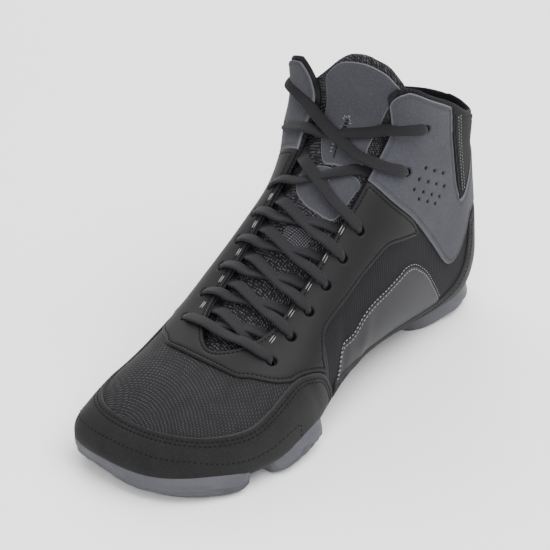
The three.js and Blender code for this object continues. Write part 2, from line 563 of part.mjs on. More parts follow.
add('eyestay', eyestay, '#3b3b3d', 0.6);
add('lace_crossings', laceCrossings, '#3a383e', 0.9);

export default shoe;
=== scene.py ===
import math

import bmesh
import bpy
import numpy as np
from mathutils import Matrix, Vector


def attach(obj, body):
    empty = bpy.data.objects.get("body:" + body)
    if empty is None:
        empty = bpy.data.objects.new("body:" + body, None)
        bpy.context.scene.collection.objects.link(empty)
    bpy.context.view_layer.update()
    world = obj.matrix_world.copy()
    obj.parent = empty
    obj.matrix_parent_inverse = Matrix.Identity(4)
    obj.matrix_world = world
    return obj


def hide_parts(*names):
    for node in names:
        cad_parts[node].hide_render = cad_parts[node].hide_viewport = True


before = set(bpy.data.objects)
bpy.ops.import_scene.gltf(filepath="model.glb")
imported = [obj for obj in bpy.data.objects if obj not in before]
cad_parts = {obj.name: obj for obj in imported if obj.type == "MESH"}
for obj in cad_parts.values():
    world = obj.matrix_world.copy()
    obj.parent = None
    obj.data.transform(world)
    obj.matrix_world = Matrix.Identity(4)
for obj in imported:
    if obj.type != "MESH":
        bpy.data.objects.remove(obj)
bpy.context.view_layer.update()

# Camera. The photograph looks down on the outer side of the shoe from in front of the toe, from far
# enough away that its lines hardly converge.
VIEW_AZIMUTH = math.radians(130.4)
VIEW_ELEVATION = math.radians(31.0)
VIEW_DISTANCE = 1.3
VIEW_TARGET = Vector((0.098, 0.0, 0.080))
VIEW_WIDTH = 0.2941  # metres across the picture at the target
VIEW_SHIFT = (-0.042, -0.036)

camera_data = bpy.data.cameras.new("camera")
camera_data.lens = camera_data.sensor_width * VIEW_DISTANCE / VIEW_WIDTH
camera_data.shift_x, camera_data.shift_y = VIEW_SHIFT
camera = bpy.data.objects.new("camera", camera_data)
bpy.context.scene.collection.objects.link(camera)
back = Vector((math.sin(VIEW_AZIMUTH) * math.cos(VIEW_ELEVATION),
               -math.cos(VIEW_AZIMUTH) * math.cos(VIEW_ELEVATION), math.sin(VIEW_ELEVATION)))
camera.location = VIEW_TARGET + back * VIEW_DISTANCE
camera.rotation_euler = back.to_track_quat("Z", "Y").to_euler()
bpy.context.scene.camera = camera

# Upper. One soft shell of fine woven mesh over the toes and ribbed ripstop on the sides, with foam and
# a knitted lining behind it, cut flat, sewn and pulled over a last. Everything here is worked out in
# millimetres from the back of the heel, on the same last as the solids, and made metres at the end.
LENGTH = 276.0
BALL_WIDTH = 101.0
HEEL_WIDTH = 70.0
SHAFT_HEIGHT = 182.0
BED = 5.5
WALL = 2.4
OVERLAY = 1.4
TOE_DOME = 3.0
TOE_FRONT = 2.0
HEEL_REST = 42.0
FLARE_CORNER = 45.0
FLARE_END = 135.0

# top x and z, low x and z, lateral, medial, ridge, belly, low power, top power, flares, heel share
SECTIONS = [
    [0.991, 0.104, 0.991, 0.042, 0.20, 0.74, -0.28, 0.36, 2.8, 2.2, 0, 0, 0],
    [0.970, 0.142, 0.970, 0.026, 0.45, 0.85, -0.22, 0.36, 3.2, 2.3, 0, 0, 0],
    [0.928, 0.180, 0.928, 0.010, 0.68, 0.91, -0.14, 0.34, 3.6, 2.4, 0, 0, 0],
    [0.864, 0.225, 0.864, 0.000, 0.89, 0.96, -0.08, 0.30, 3.8, 2.4, 0, 0, 0],
    [0.778, 0.270, 0.778, 0.000, 1.00, 0.98, -0.03, 0.28, 3.8, 2.4, 0, 0, 0],
    [0.684, 0.335, 0.684, 0.003, 0.99, 0.99, 0.00, 0.28, 3.4, 2.5, 0, 0, 0],
    [0.598, 0.425, 0.590, 0.016, 0.88, 0.95, 0.02, 0.31, 2.8, 2.7, 0, 0, 0],
    [0.524, 0.525, 0.490, 0.040, 0.85, 0.90, 0.03, 0.36, 2.5, 2.8, 0, 0, 0.1],
    [0.460, 0.615, 0.382, 0.040, 0.90, 0.94, 0.03, 0.40, 2.4, 2.8, 0, 0, 0.3],
    [0.412, 0.690, 0.268, 0.018, 1.00, 1.07, 0.02, 0.42, 2.5, 2.9, 0.04, 0.12, 0.7],
    [0.380, 0.745, 0.155, 0.002, 1.04, 1.12, 0.00, 0.42, 2.8, 3.2, 0.10, 0.38, 1],
    [0.362, 0.783, 0.078, 0.004, 1.00, 1.14, -0.02, 0.42, 2.8, 3.4, 0.12, 0.42, 1],
    [0.357, 0.808, 0.022, 0.055, 0.98, 1.16, -0.04, 0.44, 2.3, 3.6, 0.12, 0.40, 1],
    [0.358, 0.830, 0.008, 0.150, 0.98, 1.19, -0.05, 0.48, 2.1, 3.6, 0.12, 0.36, 1],
    [0.360, 0.852, 0.012, 0.270, 1.00, 1.21, -0.05, 0.50, 2.0, 3.6, 0.11, 0.31, 1],
    [0.363, 0.875, 0.026, 0.410, 1.03, 1.23, -0.05, 0.52, 2.0, 3.6, 0.10, 0.27, 1],
    [0.366, 0.900, 0.036, 0.540, 1.06, 1.25, -0.04, 0.54, 2.0, 3.6, 0.09, 0.23, 1],
    [0.369, 0.928, 0.034, 0.650, 1.09, 1.26, -0.03, 0.55, 2.0, 3.6, 0.08, 0.19, 1],
    [0.372, 0.962, 0.022, 0.740, 1.12, 1.27, -0.02, 0.56, 2.0, 3.6, 0.08, 0.17, 1],
    [0.375, 1.100, 0.018, 1.020, 1.13, 1.27, -0.02, 0.56, 2.0, 3.6, 0.08, 0.16, 1],
]
LAST_SECTION = len(SECTIONS) - 1


def sized_sections():
    rows = np.array(SECTIONS, dtype=float)
    half = (BALL_WIDTH + (HEEL_WIDTH - BALL_WIDTH) * rows[:, 12:13]) / 2
    rows[:, [0, 2]] *= LENGTH
    rows[:, [1, 3]] = BED + rows[:, [1, 3]] * SHAFT_HEIGHT
    rows[:, [4, 5, 6, 10, 11]] *= half
    return rows


sized = sized_sections()


def section_at(u):
    """Smooth values between the sections, which count from 0 at the toe."""
    index = np.clip(np.floor(u), 0, LAST_SECTION - 1).astype(int)
    t = (u - index)[..., None]
    before, start = sized[np.maximum(index - 1, 0)], sized[index]
    end, after = sized[index + 1], sized[np.minimum(index + 2, LAST_SECTION)]
    return (start * (1 + 2 * t) * (1 - t) ** 2 + (end - before) / 2 * t * (1 - t) ** 2
            + end * (3 - 2 * t) * t ** 2 + (after - start) / 2 * (t - 1) * t ** 2)


def last_point(u, angle, grow=0.0, drop=0.0):
    """Places on the last grown by a distance. The angle is 0 below, 90 lateral, 180 on top."""
    u, angle, grow, drop = np.broadcast_arrays(*(np.asarray(v, float) for v in (u, angle, grow, drop)))
    (top_x, top_z, low_x, low_z, lateral, medial, ridge, belly, low_power, top_power,
     lateral_flare, medial_flare, _) = np.moveaxis(section_at(np.maximum(u, 0)), -1, 0)
    rise = np.hypot(top_x - low_x, top_z - low_z)
    rise_x, rise_z = (top_x - low_x) / rise, (top_z - low_z) / rise
    turn = (angle + 180) % 360 - 180
    lower = np.abs(turn) <= 90
    q = np.radians(np.where(lower, np.abs(turn), 180 - np.abs(turn)))
    power = 2 / np.where(lower, low_power, top_power)
    from_top = 180 - np.abs(turn)
    corner = np.where(from_top < FLARE_CORNER, from_top / FLARE_CORNER,
                      (FLARE_END - from_top) / (FLARE_END - FLARE_CORNER))
    flare = (np.where(turn >= 0, lateral_flare, medial_flare)
             * (1 - np.cos(np.pi * np.clip(corner, 0, 1))) / 2)
    reach = np.where(turn >= 0, lateral - ridge, medial + ridge)
    out = (reach + grow) * np.sin(q) ** power + flare
    along = np.maximum(np.cos(q), 0) ** power
    height = np.where(lower, belly * (1 - along), 1 - (1 - belly) * (1 - along))
    foot_x, foot_z = low_x - rise_x * grow, low_z - rise_z * grow - drop * np.maximum(rise_z, 0)
    head_x, head_z = top_x + rise_x * grow, top_z + rise_z * grow
    x, z = foot_x + (head_x - foot_x) * height, foot_z + (head_z - foot_z) * height
    y = ridge + np.where(turn >= 0, 1, -1) * out
    close = np.clip(-u, 0, 1)
    x += (foot_x + (head_x - foot_x) * belly - x) * close + (1 - (1 - close) ** 2) * TOE_DOME
    y += (ridge - y) * close
    z += (foot_z + (head_z - foot_z) * belly - z) * close
    x += grow * (np.maximum(TOE_FRONT - u, 0) / (TOE_FRONT + 1)) ** 2
    return np.stack([x, y, z], -1)


def bell(value, middle, width):
    """1 at the middle, and softly down to 0 to either side."""
    return np.exp(-((value - middle) / width) ** 2)


def at(x, z):
    """A place in the side view by its shares of LENGTH and SHAFT_HEIGHT."""
    return np.array([x * LENGTH, BED + z * SHAFT_HEIGHT])


# The soft folds of a worn-in upper, each from one side-view place to another: depth in mm, half width.
FOLDS = [
    (at(0.700, 0.235), at(0.655, 0.120), -0.7, 2.6), (at(0.690, 0.255), at(0.640, 0.150), 0.5, 2.2),
    (at(0.545, 0.330), at(0.560, 0.100), -0.8, 4.0), (at(0.470, 0.300), at(0.500, 0.090), 0.6, 5.0),
    (at(0.400, 0.400), at(0.300, 0.300), -0.9, 4.5), (at(0.340, 0.520), at(0.230, 0.420), -0.9, 5.0),
    (at(0.350, 0.560), at(0.240, 0.480), 0.8, 5.0), (at(0.330, 0.860), at(0.250, 0.640), -0.5, 6.0),
    (at(0.180, 0.700), at(0.120, 0.520), -0.7, 6.0), (at(0.120, 0.600), at(0.020, 0.560), -0.6, 5.0),
]


def folded(u, angle):
    """How far the soft folds move the upper in or out at these places."""
    place = last_point(u, angle)[..., [0, 2]]
    depth = np.zeros(place.shape[:-1])
    for start, end, height, width in FOLDS:
        way = end - start
        t = np.clip(((place - start) @ way) / (way @ way), 0, 1)
        away = np.linalg.norm(place - start - t[..., None] * way, axis=-1)
        depth += height * bell(away, 0, width) * np.sin(np.pi * (0.1 + 0.8 * t))
    return depth


def skin(u, angle, grow=0.0):
    """A place on the worn upper, or that far off it."""
    return last_point(u, angle, np.asarray(grow) + folded(u, angle))


def outwards(u, angle):
    way = last_point(u, angle, 1.0) - last_point(u, angle, 0.0)
    return way / np.linalg.norm(way, axis=-1, keepdims=True)


def curve(points, closed=False, steps=8):
    """A smooth line through given points."""
    points = np.asarray(points, float)
    if closed:
        padded = np.vstack([points[-1:], points, points[:2]])
    else:
        padded = np.vstack([2 * points[0] - points[1], points, 2 * points[-1] - points[-2]])
    t = np.linspace(0, 1, steps, endpoint=False)[:, None]
    runs = []
    for p0, p1, p2, p3 in zip(padded, padded[1:], padded[2:], padded[3:]):
        runs.append(0.5 * (2 * p1 + (p2 - p0) * t + (2 * p0 - 5 * p1 + 4 * p2 - p3) * t ** 2
                           + (3 * p1 - p0 - 3 * p2 + p3) * t ** 3))
    return np.vstack(runs if closed else runs + [points[-1:]])


def outline(*runs):
    """A closed outline in the side view. A run is smooth through its points, and runs meet at corners."""
    return np.vstack([curve([at(*p) for p in run]) if len(run) > 2
                      else np.array([at(*p) for p in run]) for run in runs])


def inside(shape, places):
    """Distance of flat places into a closed outline, below 0 outside it."""
    nearest = np.full(len(places), np.inf)
    crossings = np.zeros(len(places), int)
    x, y = places[:, 0], places[:, 1]
    for start, end in zip(shape, np.roll(shape, -1, axis=0)):
        way = end - start
        if way @ way < 1e-12:
            continue
        t = np.clip(((x - start[0]) * way[0] + (y - start[1]) * way[1]) / (way @ way), 0, 1)
        nearest = np.minimum(nearest, np.hypot(x - start[0] - t * way[0], y - start[1] - t * way[1]))
        if start[1] != end[1]:
            across = (start[1] > y) != (end[1] > y)
            crossings += across & (x < start[0] + (y - start[1]) * way[0] / way[1])
    return np.where(crossings % 2 == 1, nearest, -nearest)


def in_side_view(shape):
    return lambda point: inside(shape, point[:, [0, 2]])


def even_table(start, end, step, place):
    """Values from start to end that lie about one step apart over the last."""
    values = np.linspace(start, end, 400)
    points = place(values)
    gone = np.concatenate([[0], np.cumsum(np.linalg.norm(np.diff(points, axis=0), axis=1))])
    return np.interp(np.linspace(0, gone[-1], max(int(gone[-1] / step), 3) + 1), gone, values)


def chains(bm, level):
    """The lines along which a cut panel lies at one distance from its edge, as grid places."""
    links = {}
    for edge in bm.edges:
        a, b = edge.verts
        if abs(a.co.z - level) < 1e-4 and abs(b.co.z - level) < 1e-4:
            links.setdefault(a, []).append(b)
            links.setdefault(b, []).append(a)
    lines = []
    seen = set()
    for start in sorted(links, key=lambda v: (len(links[v]) == 2, v.index)):
        if start in seen:
            continue
        line = [start]
        seen.add(start)
        while True:
            ahead = [v for v in links[line[-1]] if v not in seen]
            if not ahead:
                break
            seen.add(ahead[0])
            line.append(ahead[0])
        if len(line) > 3:
            if line[0] in links[line[-1]]:
                line.append(line[0])
            lines.append(np.array([v.co[:2] for v in line]))
    return lines


FAR = 60.0  # further from an edge than any place that it cuts


def depth_in(edges, u, angle):
    """Distance of places into a panel from its nearest edge, corrected for the slope of the face."""
    U_STEP, ANGLE_STEP = 0.02, 0.4
    point = last_point(u, angle)
    along = last_point(u + U_STEP, angle) - last_point(u - U_STEP, angle)
    around = last_point(u, angle + ANGLE_STEP) - last_point(u, angle - ANGLE_STEP)
    along_length = np.linalg.norm(along, axis=1) + 1e-6
    around_length = np.linalg.norm(around, axis=1) + 1e-6
    cosine = np.clip((along * around).sum(1) / along_length / around_length, -0.9, 0.9)
    depth = np.full(len(point), FAR)
    for edge in edges:
        a = (edge(point + along / 2) - edge(point - along / 2)) / along_length
        b = (edge(point + around / 2) - edge(point - around / 2)) / around_length
        steep = np.sqrt((a ** 2 + b ** 2 - 2 * a * b * cosine) / (1 - cosine ** 2))
        depth = np.minimum(depth, edge(point) / np.clip(steep, 0.35, 1.0))
    return np.maximum(depth, -FAR)


def cut_panel(u_span, angle_span, step, edges, outer, inner, loops=(0.15, 0.5, 1.1), rows=(),
              u_table=None, angle_table=None, holes=(), guide=None):
    """A closed sheet over the last, cut to its edges: outer and inner give its two faces' places.

    An edge gives the distance into the panel of each place. The distance is corrected for the slope
    of the face there. Loops round the edge, and rows are further ones, along which stitches run.
    Holes are cut afterwards, so no row goes round them. A guide is 0 along one more line to stitch.
    Returns the mesh and the lines of the rows and the guide.
    """
    if u_table is None:
        u_table = even_table(*u_span, step, lambda u: last_point(u, sum(angle_span) / 2))
    if angle_table is None:
        middle = sum(u_span) / 2
        angle_table = even_table(*angle_span, step, lambda angle: last_point(middle, angle))
    bm = bmesh.new()
    from_edge = bm.verts.layers.float.new("from_edge")
    bmesh.ops.create_grid(bm, x_segments=len(u_table) - 1, y_segments=len(angle_table) - 1, size=0.5)

    def unrolled(flat):
        u = np.interp(flat[:, 0] + 0.5, np.linspace(0, 1, len(u_table)), u_table)
        angle = np.interp(flat[:, 1] + 0.5, np.linspace(0, 1, len(angle_table)), angle_table)
        return u, angle

    verts = list(bm.verts)
    for vert, value in zip(verts, depth_in(edges, *unrolled(np.array([v.co[:2] for v in verts])))):
        vert.co.z = value
    lines = {}
    for level in (0.0, *loops, *rows):
        bmesh.ops.bisect_plane(bm, geom=bm.verts[:] + bm.edges[:] + bm.faces[:], dist=1e-6,
                               plane_co=(0, 0, level), plane_no=(0, 0, 1), clear_inner=level == 0.0)
        if level in rows:
            bm.verts.index_update()
            lines[level] = [unrolled(line) for line in chains(bm, level)]
    verts = list(bm.verts)
    clear = np.full(len(verts), FAR)
    if holes:
        point = last_point(*unrolled(np.array([v.co[:2] for v in verts])))
        clear = np.clip(np.min([hole(point) for hole in holes], axis=0), -FAR, FAR)
    for vert in verts:
        vert[from_edge] = vert.co.z
    if guide:
        for vert, value in zip(verts, guide(last_point(*unrolled(np.array([v.co[:2] for v in verts]))))):
            vert.co.z = value
        bmesh.ops.bisect_plane(bm, geom=bm.verts[:] + bm.edges[:] + bm.faces[:], dist=1e-6,
                               plane_co=(0, 0, 0), plane_no=(0, 0, 1))
        bm.verts.index_update()
        lines["guide"] = [unrolled(line) for line in chains(bm, 0.0)]
        verts = list(bm.verts)
        clear = np.full(len(verts), FAR)
    for vert, value in zip(verts, clear):
        vert.co.z = value
    HOLE_LOOPS, HOLE_RIM = (0.3, 0.9), 1.5
    for level in (0.0, *HOLE_LOOPS) if holes else ():
        bmesh.ops.bisect_plane(bm, geom=bm.verts[:] + bm.edges[:] + bm.faces[:], dist=1e-6,
                               plane_co=(0, 0, level), plane_no=(0, 0, 1), clear_inner=level == 0.0)
    front = list(bm.verts)
    u, angle = unrolled(np.array([v.co[:2] for v in front]))
    depth = np.array([min(v[from_edge], v.co.z if v.co.z < HOLE_RIM else FAR) for v in front])
    depth = np.maximum(depth, 0)
    copied = bmesh.ops.duplicate(bm, geom=bm.verts[:] + bm.edges[:] + bm.faces[:])
    bmesh.ops.reverse_faces(bm, faces=[f for f in copied["geom"] if isinstance(f, bmesh.types.BMFace)])
    rear = [copied["vert_map"][v] for v in front]
    for vert, place in zip(front, outer(u, angle, depth)):
        vert.co = place
    for vert, place in zip(rear, inner(u, angle, depth)):
        vert.co = place
    lined = bm.faces.layers.int.new("lined")
    rear_set = set(rear)
    for face in bm.faces:
        face[lined] = int(face.verts[0] in rear_set)
    cloth = bm.loops.layers.uv.new("cloth_mm")
    around_mm, along_mm = cloth_place(u, angle)
    places = dict(zip(front, zip(around_mm, along_mm))) | dict(zip(rear, zip(around_mm, along_mm)))
    for face in bm.faces:
        for loop in face.loops:
            loop[cloth].uv = places[loop.vert]
    bmesh.ops.remove_doubles(bm, verts=bm.verts, dist=0.02)
    bmesh.ops.dissolve_degenerate(bm, dist=0.01, edges=bm.edges)
    return bm, lines


def cloth_lattice():
    """Lengths over the last, along it and around it, on a coarse grid of sections and angles."""
    u = np.linspace(-1, LAST_SECTION, 161)
    angle = np.linspace(0, 360, 181)
    points = last_point(u[:, None], angle[None, :])
    along = np.linalg.norm(np.diff(points, axis=0), axis=-1)
    around = np.linalg.norm(np.diff(points, axis=1), axis=-1)
    along = np.vstack([np.zeros((1, along.shape[1])), np.cumsum(along, axis=0)])
    around = np.hstack([np.zeros((around.shape[0], 1)), np.cumsum(around, axis=1)])
    return u, angle, along, around


lattice_u, lattice_angle, lattice_along, lattice_around = cloth_lattice()


def cloth_place(u, angle):
    """Millimetres around and along the last, so that a weave keeps its size. It joins below."""
    i = np.clip((u + 1) / (lattice_u[1] - lattice_u[0]), 0, len(lattice_u) - 1.001)
    turn = np.where(angle < 0, angle + 360, angle)
    j = np.clip(turn / (lattice_angle[1] - lattice_angle[0]), 0, len(lattice_angle) - 1.001)
    i0, j0 = i.astype(int), j.astype(int)
    s, t = i - i0, j - j0
    result = []
    for table in (lattice_around, lattice_along):
        near = table[i0, j0] * (1 - t) + table[i0, j0 + 1] * t
        far = table[i0 + 1, j0] * (1 - t) + table[i0 + 1, j0 + 1] * t
        result.append(near * (1 - s) + far * s)
    return result


def rounded(depth, radius):
    """The profile of an edge that rounds over: 0 at the edge and 1 from one radius in."""
    return np.sqrt(1 - (1 - np.clip(depth / radius, 0, 1)) ** 2)


def finish_piece(bm, name, materials, nodes, choose=None):
    """Makes the mesh an object of its own in metres, smooth, on the shoe's one body."""
    bmesh.ops.translate(bm, vec=(-HEEL_REST, 0, 0), verts=bm.verts)
    bmesh.ops.scale(bm, vec=(0.001, 0.001, 0.001), verts=bm.verts)
    lined = bm.faces.layers.int.get("lined")
    for face in bm.faces:
        face.smooth = True
        if choose:
            face.material_index = choose(face, face[lined] if lined else 0)
    mesh = bpy.data.meshes.new(name)
    bm.to_mesh(mesh)
    bm.free()
    for material in materials:
        mesh.materials.append(material)
    piece = bpy.data.objects.new(name, mesh)
    bpy.context.scene.collection.objects.link(piece)
    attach(piece, "root")
    if nodes:
        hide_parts(*nodes)
    return piece


def linear(colour):
    """An sRGB hex colour as linear RGBA."""
    parts = [int(colour[i:i + 2], 16) / 255 for i in (1, 3, 5)]
    return (*[p / 12.92 if p <= 0.04045 else ((p + 0.055) / 1.055) ** 2.4 for p in parts], 1.0)


def put(tree, kind, inputs=None, **settings):
    """Adds a node. Each input is a plain value or the socket that feeds it."""
    made = tree.nodes.new(kind)
    for name, value in settings.items():
        setattr(made, name, value)
    for name, value in (inputs or {}).items():
        if isinstance(value, bpy.types.NodeSocket):
            tree.links.new(value, made.inputs[name])
        else:
            made.inputs[name].default_value = value
    return made


def new_material(name, **constants):
    """A material with its shader, whose constants are set on its own sockets."""
    material = bpy.data.materials.new(name)
    material.use_nodes = True
    tree = material.node_tree
    shader = tree.nodes["Principled BSDF"]
    for socket, value in constants.items():
        shader.inputs[socket.replace("_", " ")].default_value = value
    return material, tree, shader


def wave_scale(pitch):
    """The Wave Texture's scale for bands one pitch apart."""
    return 2 * math.pi / 20 / pitch


MM = 0.001  # object coordinates are in metres


# Woven sports mesh: polyester yarns in short steep waves with dark gaps between them. It gives a matt
# speckle of mid-grey yarn on near black. The real yarn is 0.3 mm, drawn at 1.5 mm so that it shows.
def woven_mesh():
    YARN_PITCH = 1.5
    material, tree, shader = new_material("woven_polyester_mesh", Roughness=0.75, Specular_IOR_Level=0.25)
    cloth = put(tree, "ShaderNodeUVMap", uv_map="cloth_mm").outputs["UV"]
    rows = put(tree, "ShaderNodeTexWave", {"Vector": cloth, "Scale": wave_scale(YARN_PITCH * 1.25),
               "Distortion": 2.4, "Detail": 1.0, "Detail Scale": 0.8}, bands_direction="Y")
    turned = put(tree, "ShaderNodeMapping", {"Vector": cloth, "Rotation": (0, 0, math.radians(38))})
    twill = put(tree, "ShaderNodeTexWave", {"Vector": turned.outputs["Vector"],
                "Scale": wave_scale(YARN_PITCH), "Distortion": 1.6, "Detail": 1.0})
    yarn = put(tree, "ShaderNodeMath", {0: rows.outputs["Fac"], 1: twill.outputs["Fac"]},
               operation="MULTIPLY").outputs["Value"]
    object_place = put(tree, "ShaderNodeTexCoord").outputs["Object"]
    uneven = put(tree, "ShaderNodeTexNoise", {"Vector": object_place, "Scale": 1 / (7 * MM),
                 "Detail": 3.0}).outputs["Fac"]
    lifted = put(tree, "ShaderNodeMath", {0: yarn, 1: uneven}, operation="MULTIPLY").outputs["Value"]
    colours = put(tree, "ShaderNodeValToRGB", {"Fac": lifted})
    colours.color_ramp.elements[0].position = 0.05
    colours.color_ramp.elements[0].color = linear("#0c0b0d")
    colours.color_ramp.elements[1].position = 0.50
    colours.color_ramp.elements[1].color = linear("#2e2d32")
    tree.links.new(colours.outputs["Color"], shader.inputs["Base Color"])
    bump = put(tree, "ShaderNodeBump", {"Height": yarn, "Distance": 0.35 * MM, "Strength": 0.8})
    tree.links.new(bump.outputs["Normal"], shader.inputs["Normal"])
    return material


# Ribbed ripstop: a flat nylon cloth with a raised yarn every 1.7 mm, upright on the shoe's sides.
def ribbed_ripstop(name, low, high):
    RIB_PITCH = 1.7
    material, tree, shader = new_material(name, Roughness=0.75, Specular_IOR_Level=0.12)
    place = put(tree, "ShaderNodeTexCoord").outputs["Object"]
    ribs = put(tree, "ShaderNodeTexWave", {"Vector": place, "Scale": wave_scale(RIB_PITCH * MM),
               "Distortion": 0.5, "Detail": 1.0, "Detail Scale": 0.4}, bands_direction="X")
    cross = put(tree, "ShaderNodeTexWave", {"Vector": place, "Scale": wave_scale(1.1 * MM),
                "Distortion": 0.4, "Detail": 0.0}, bands_direction="Z")
    weave = put(tree, "ShaderNodeMath", {0: cross.outputs["Fac"], 1: 0.35, 2: ribs.outputs["Fac"]},
                operation="MULTIPLY_ADD").outputs["Value"]
    colours = put(tree, "ShaderNodeValToRGB", {"Fac": weave})
    colours.color_ramp.elements[0].color = linear(low)
    colours.color_ramp.elements[1].color = linear(high)
    tree.links.new(colours.outputs["Color"], shader.inputs["Base Color"])
    bump = put(tree, "ShaderNodeBump", {"Height": weave, "Distance": 0.2 * MM, "Strength": 0.6})
    tree.links.new(bump.outputs["Normal"], shader.inputs["Normal"])
    return material


# Knitted lining: brushed polyester tricot, soft and almost black, with fine loops 1 mm apart.
def knitted_lining():
    LOOP_PITCH = 1.0
    material, tree, shader = new_material("knitted_polyester_lining", Roughness=0.95,
                                          Specular_IOR_Level=0.1)
    cloth = put(tree, "ShaderNodeUVMap", uv_map="cloth_mm").outputs["UV"]
    loops = put(tree, "ShaderNodeTexVoronoi", {"Vector": cloth, "Scale": 1 / LOOP_PITCH})
    colours = put(tree, "ShaderNodeValToRGB", {"Fac": loops.outputs["Distance"]})
    colours.color_ramp.elements[0].color = linear("#222125")
    colours.color_ramp.elements[1].color = linear("#0f0e11")
    tree.links.new(colours.outputs["Color"], shader.inputs["Base Color"])
    bump = put(tree, "ShaderNodeBump", {"Height": loops.outputs["Distance"], "Distance": 0.25 * MM,
               "Strength": 0.5})
    bump.invert = True
    tree.links.new(bump.outputs["Normal"], shader.inputs["Normal"])
    return material


ripstop = ribbed_ripstop("ribbed_nylon_ripstop", "#0b0b0d", "#1c1b1f")
mesh_cloth, lining = woven_mesh(), knitted_lining()

COLLAR_OUTER = [(0.46, 0.80), (0.41, 0.872), (0.372, 0.916), (0.335, 0.922), (0.28, 0.872),
                (0.216, 0.812), (0.15, 0.738), (0.08, 0.682), (0.03, 0.660), (-0.1, 0.655)]
COLLAR_INNER = [(0.46, 0.80), (0.41, 0.895), (0.375, 0.930), (0.350, 0.905), (0.325, 0.860),
                (0.28, 0.790), (0.216, 0.730), (0.15, 0.686), (0.08, 0.664), (0.03, 0.657),
                (-0.1, 0.655)]
collars = [outline(line, [(-0.1, -0.3), (1.3, -0.3)], [(1.3, 0.80)])
           for line in (COLLAR_OUTER, COLLAR_INNER)]


def under_collar(gap):
    """Distance below the collar's edge, which dips further on the inner side of the ankle."""
    def distance(point):
        flat = point[:, [0, 2]]
        return np.where(point[:, 1] > 0, inside(collars[0], flat), inside(collars[1], flat)) - gap
    return distance

# The rounded upper front corner in the front view: millimetres to the side, share of the height.
CORNER = [(23.0, 0.700), (23.6, 0.780), (25.5, 0.845), (29.5, 0.886), (37.0, 0.912), (60.0, 0.960)]
corner_shape = np.vstack([curve([(y, BED + z * SHAFT_HEIGHT) for y, z in CORNER]),
                          [[60.0, 0.0], [0.0, 0.0], [0.0, BED + 0.5 * SHAFT_HEIGHT],
                           [18.0, BED + 0.6 * SHAFT_HEIGHT]]])


def flap_corner(point):
    """Distance inside that corner. Behind the ankle nothing is cut."""
    return np.where(point[:, 0] > LENGTH * 0.27, inside(corner_shape, np.abs(point[:, [1, 2]])), FAR)


# The lace opening lies over the instep: one length runs up along it and the other across.
THROAT_HALF = 22.0
THROAT_SHIFT = 2.0
THROAT_SLOPE = math.radians(44)
THROAT_REACH = SHAFT_HEIGHT * 1.2
throat_up = np.array([-math.cos(THROAT_SLOPE), 0, math.sin(THROAT_SLOPE)])
throat_start = last_point(4.1, 180.0)


def throat_outline(half, front):
    rows = [(THROAT_REACH, 1.15), (THROAT_REACH * 0.6, 1.05), (front + half * 2.5, 0.98),
            (front + half * 0.8, 0.82), (front, 0.0)]
    lateral = [(up, THROAT_SHIFT + share * half) for up, share in rows]
    medial = [(up, THROAT_SHIFT - share * half) for up, share in rows[-2::-1]]
    return curve(lateral + medial)


def over_instep(point):
    return np.stack([(point - throat_start) @ throat_up, point[:, 1]], -1)


def in_throat(shape):
    """Distance into an outline on the lace opening. Behind the ankle nothing counts as in it."""
    def distance(point):
        flat = over_instep(point)
        front = point[:, 0] + 0.9 * point[:, 2] - LENGTH * 0.60
        return np.where(front > 0, inside(shape, flat), np.minimum(inside(shape, flat), -20.0))
    return distance


THROAT = throat_outline(THROAT_HALF, 0.0)


def off_throat(gap):
    opening = in_throat(THROAT)
    return lambda point: -opening(point) - gap


# The lace holes: six rows beside the lace opening and two in each ankle panel.
EYELET_ROWS = 6
EYELET_FIRST = 14.0
EYELET_PITCH = 17.5
EYELET_INSET = 8.0
EYELET_RADIUS = 2.3
ANKLE_HOLES = {1: [(0.333, 0.645), (0.289, 0.765)], -1: [(0.366, 0.667), (0.320, 0.785)]}


def ridge_section(distance):
    u = np.linspace(4.1, 12, 800)
    gone = np.concatenate([[0], np.cumsum(np.linalg.norm(np.diff(last_point(u, 180.0), axis=0), axis=1))])
    return float(np.interp(distance, gone, u))


def angle_at_y(u, y):
    angles = np.linspace(90, 180, 2000)
    side = 1 if y >= section_at(np.array(u))[6] else -1
    ys = last_point(u, side * angles)[:, 1] * side
    return side * float(np.interp(-y * side, -ys[angles > 100], angles[angles > 100]))


def place_on_side(x, z):
    """The section and the angle of a place in the side view, on the lateral side."""
    low, high = 0.0, float(LAST_SECTION)
    for _ in range(40):
        u = (low + high) / 2
        row = section_at(np.array(u))
        rise = row[[0, 1]] - row[[2, 3]]
        reach = np.array([x, z]) - row[[2, 3]]
        if rise[0] * reach[1] - rise[1] * reach[0] > 0:
            low = u
        else:
            high = u
    share = (reach @ rise) / (rise @ rise)
    belly = row[7]
    lower = share <= belly
    along = 1 - share / belly if lower else 1 - (1 - share) / (1 - belly)
    q = math.degrees(math.acos(min(max(along, 0), 1) ** (row[8 if lower else 9] / 2)))
    return u, q if lower else 180 - q


def eyelets(side):
    holes = []
    for i in range(EYELET_ROWS):
        u = ridge_section(EYELET_FIRST + i * EYELET_PITCH)
        holes.append((u, angle_at_y(u, THROAT_SHIFT + side * (THROAT_HALF + EYELET_INSET))))
    for share in ANKLE_HOLES[side]:
        u, angle = place_on_side(*at(*share))
        holes.append((u, side * angle))
    return holes


lateral_holes, medial_holes = eyelets(1), eyelets(-1)
hole_points = last_point(*np.array(lateral_holes + medial_holes).T)


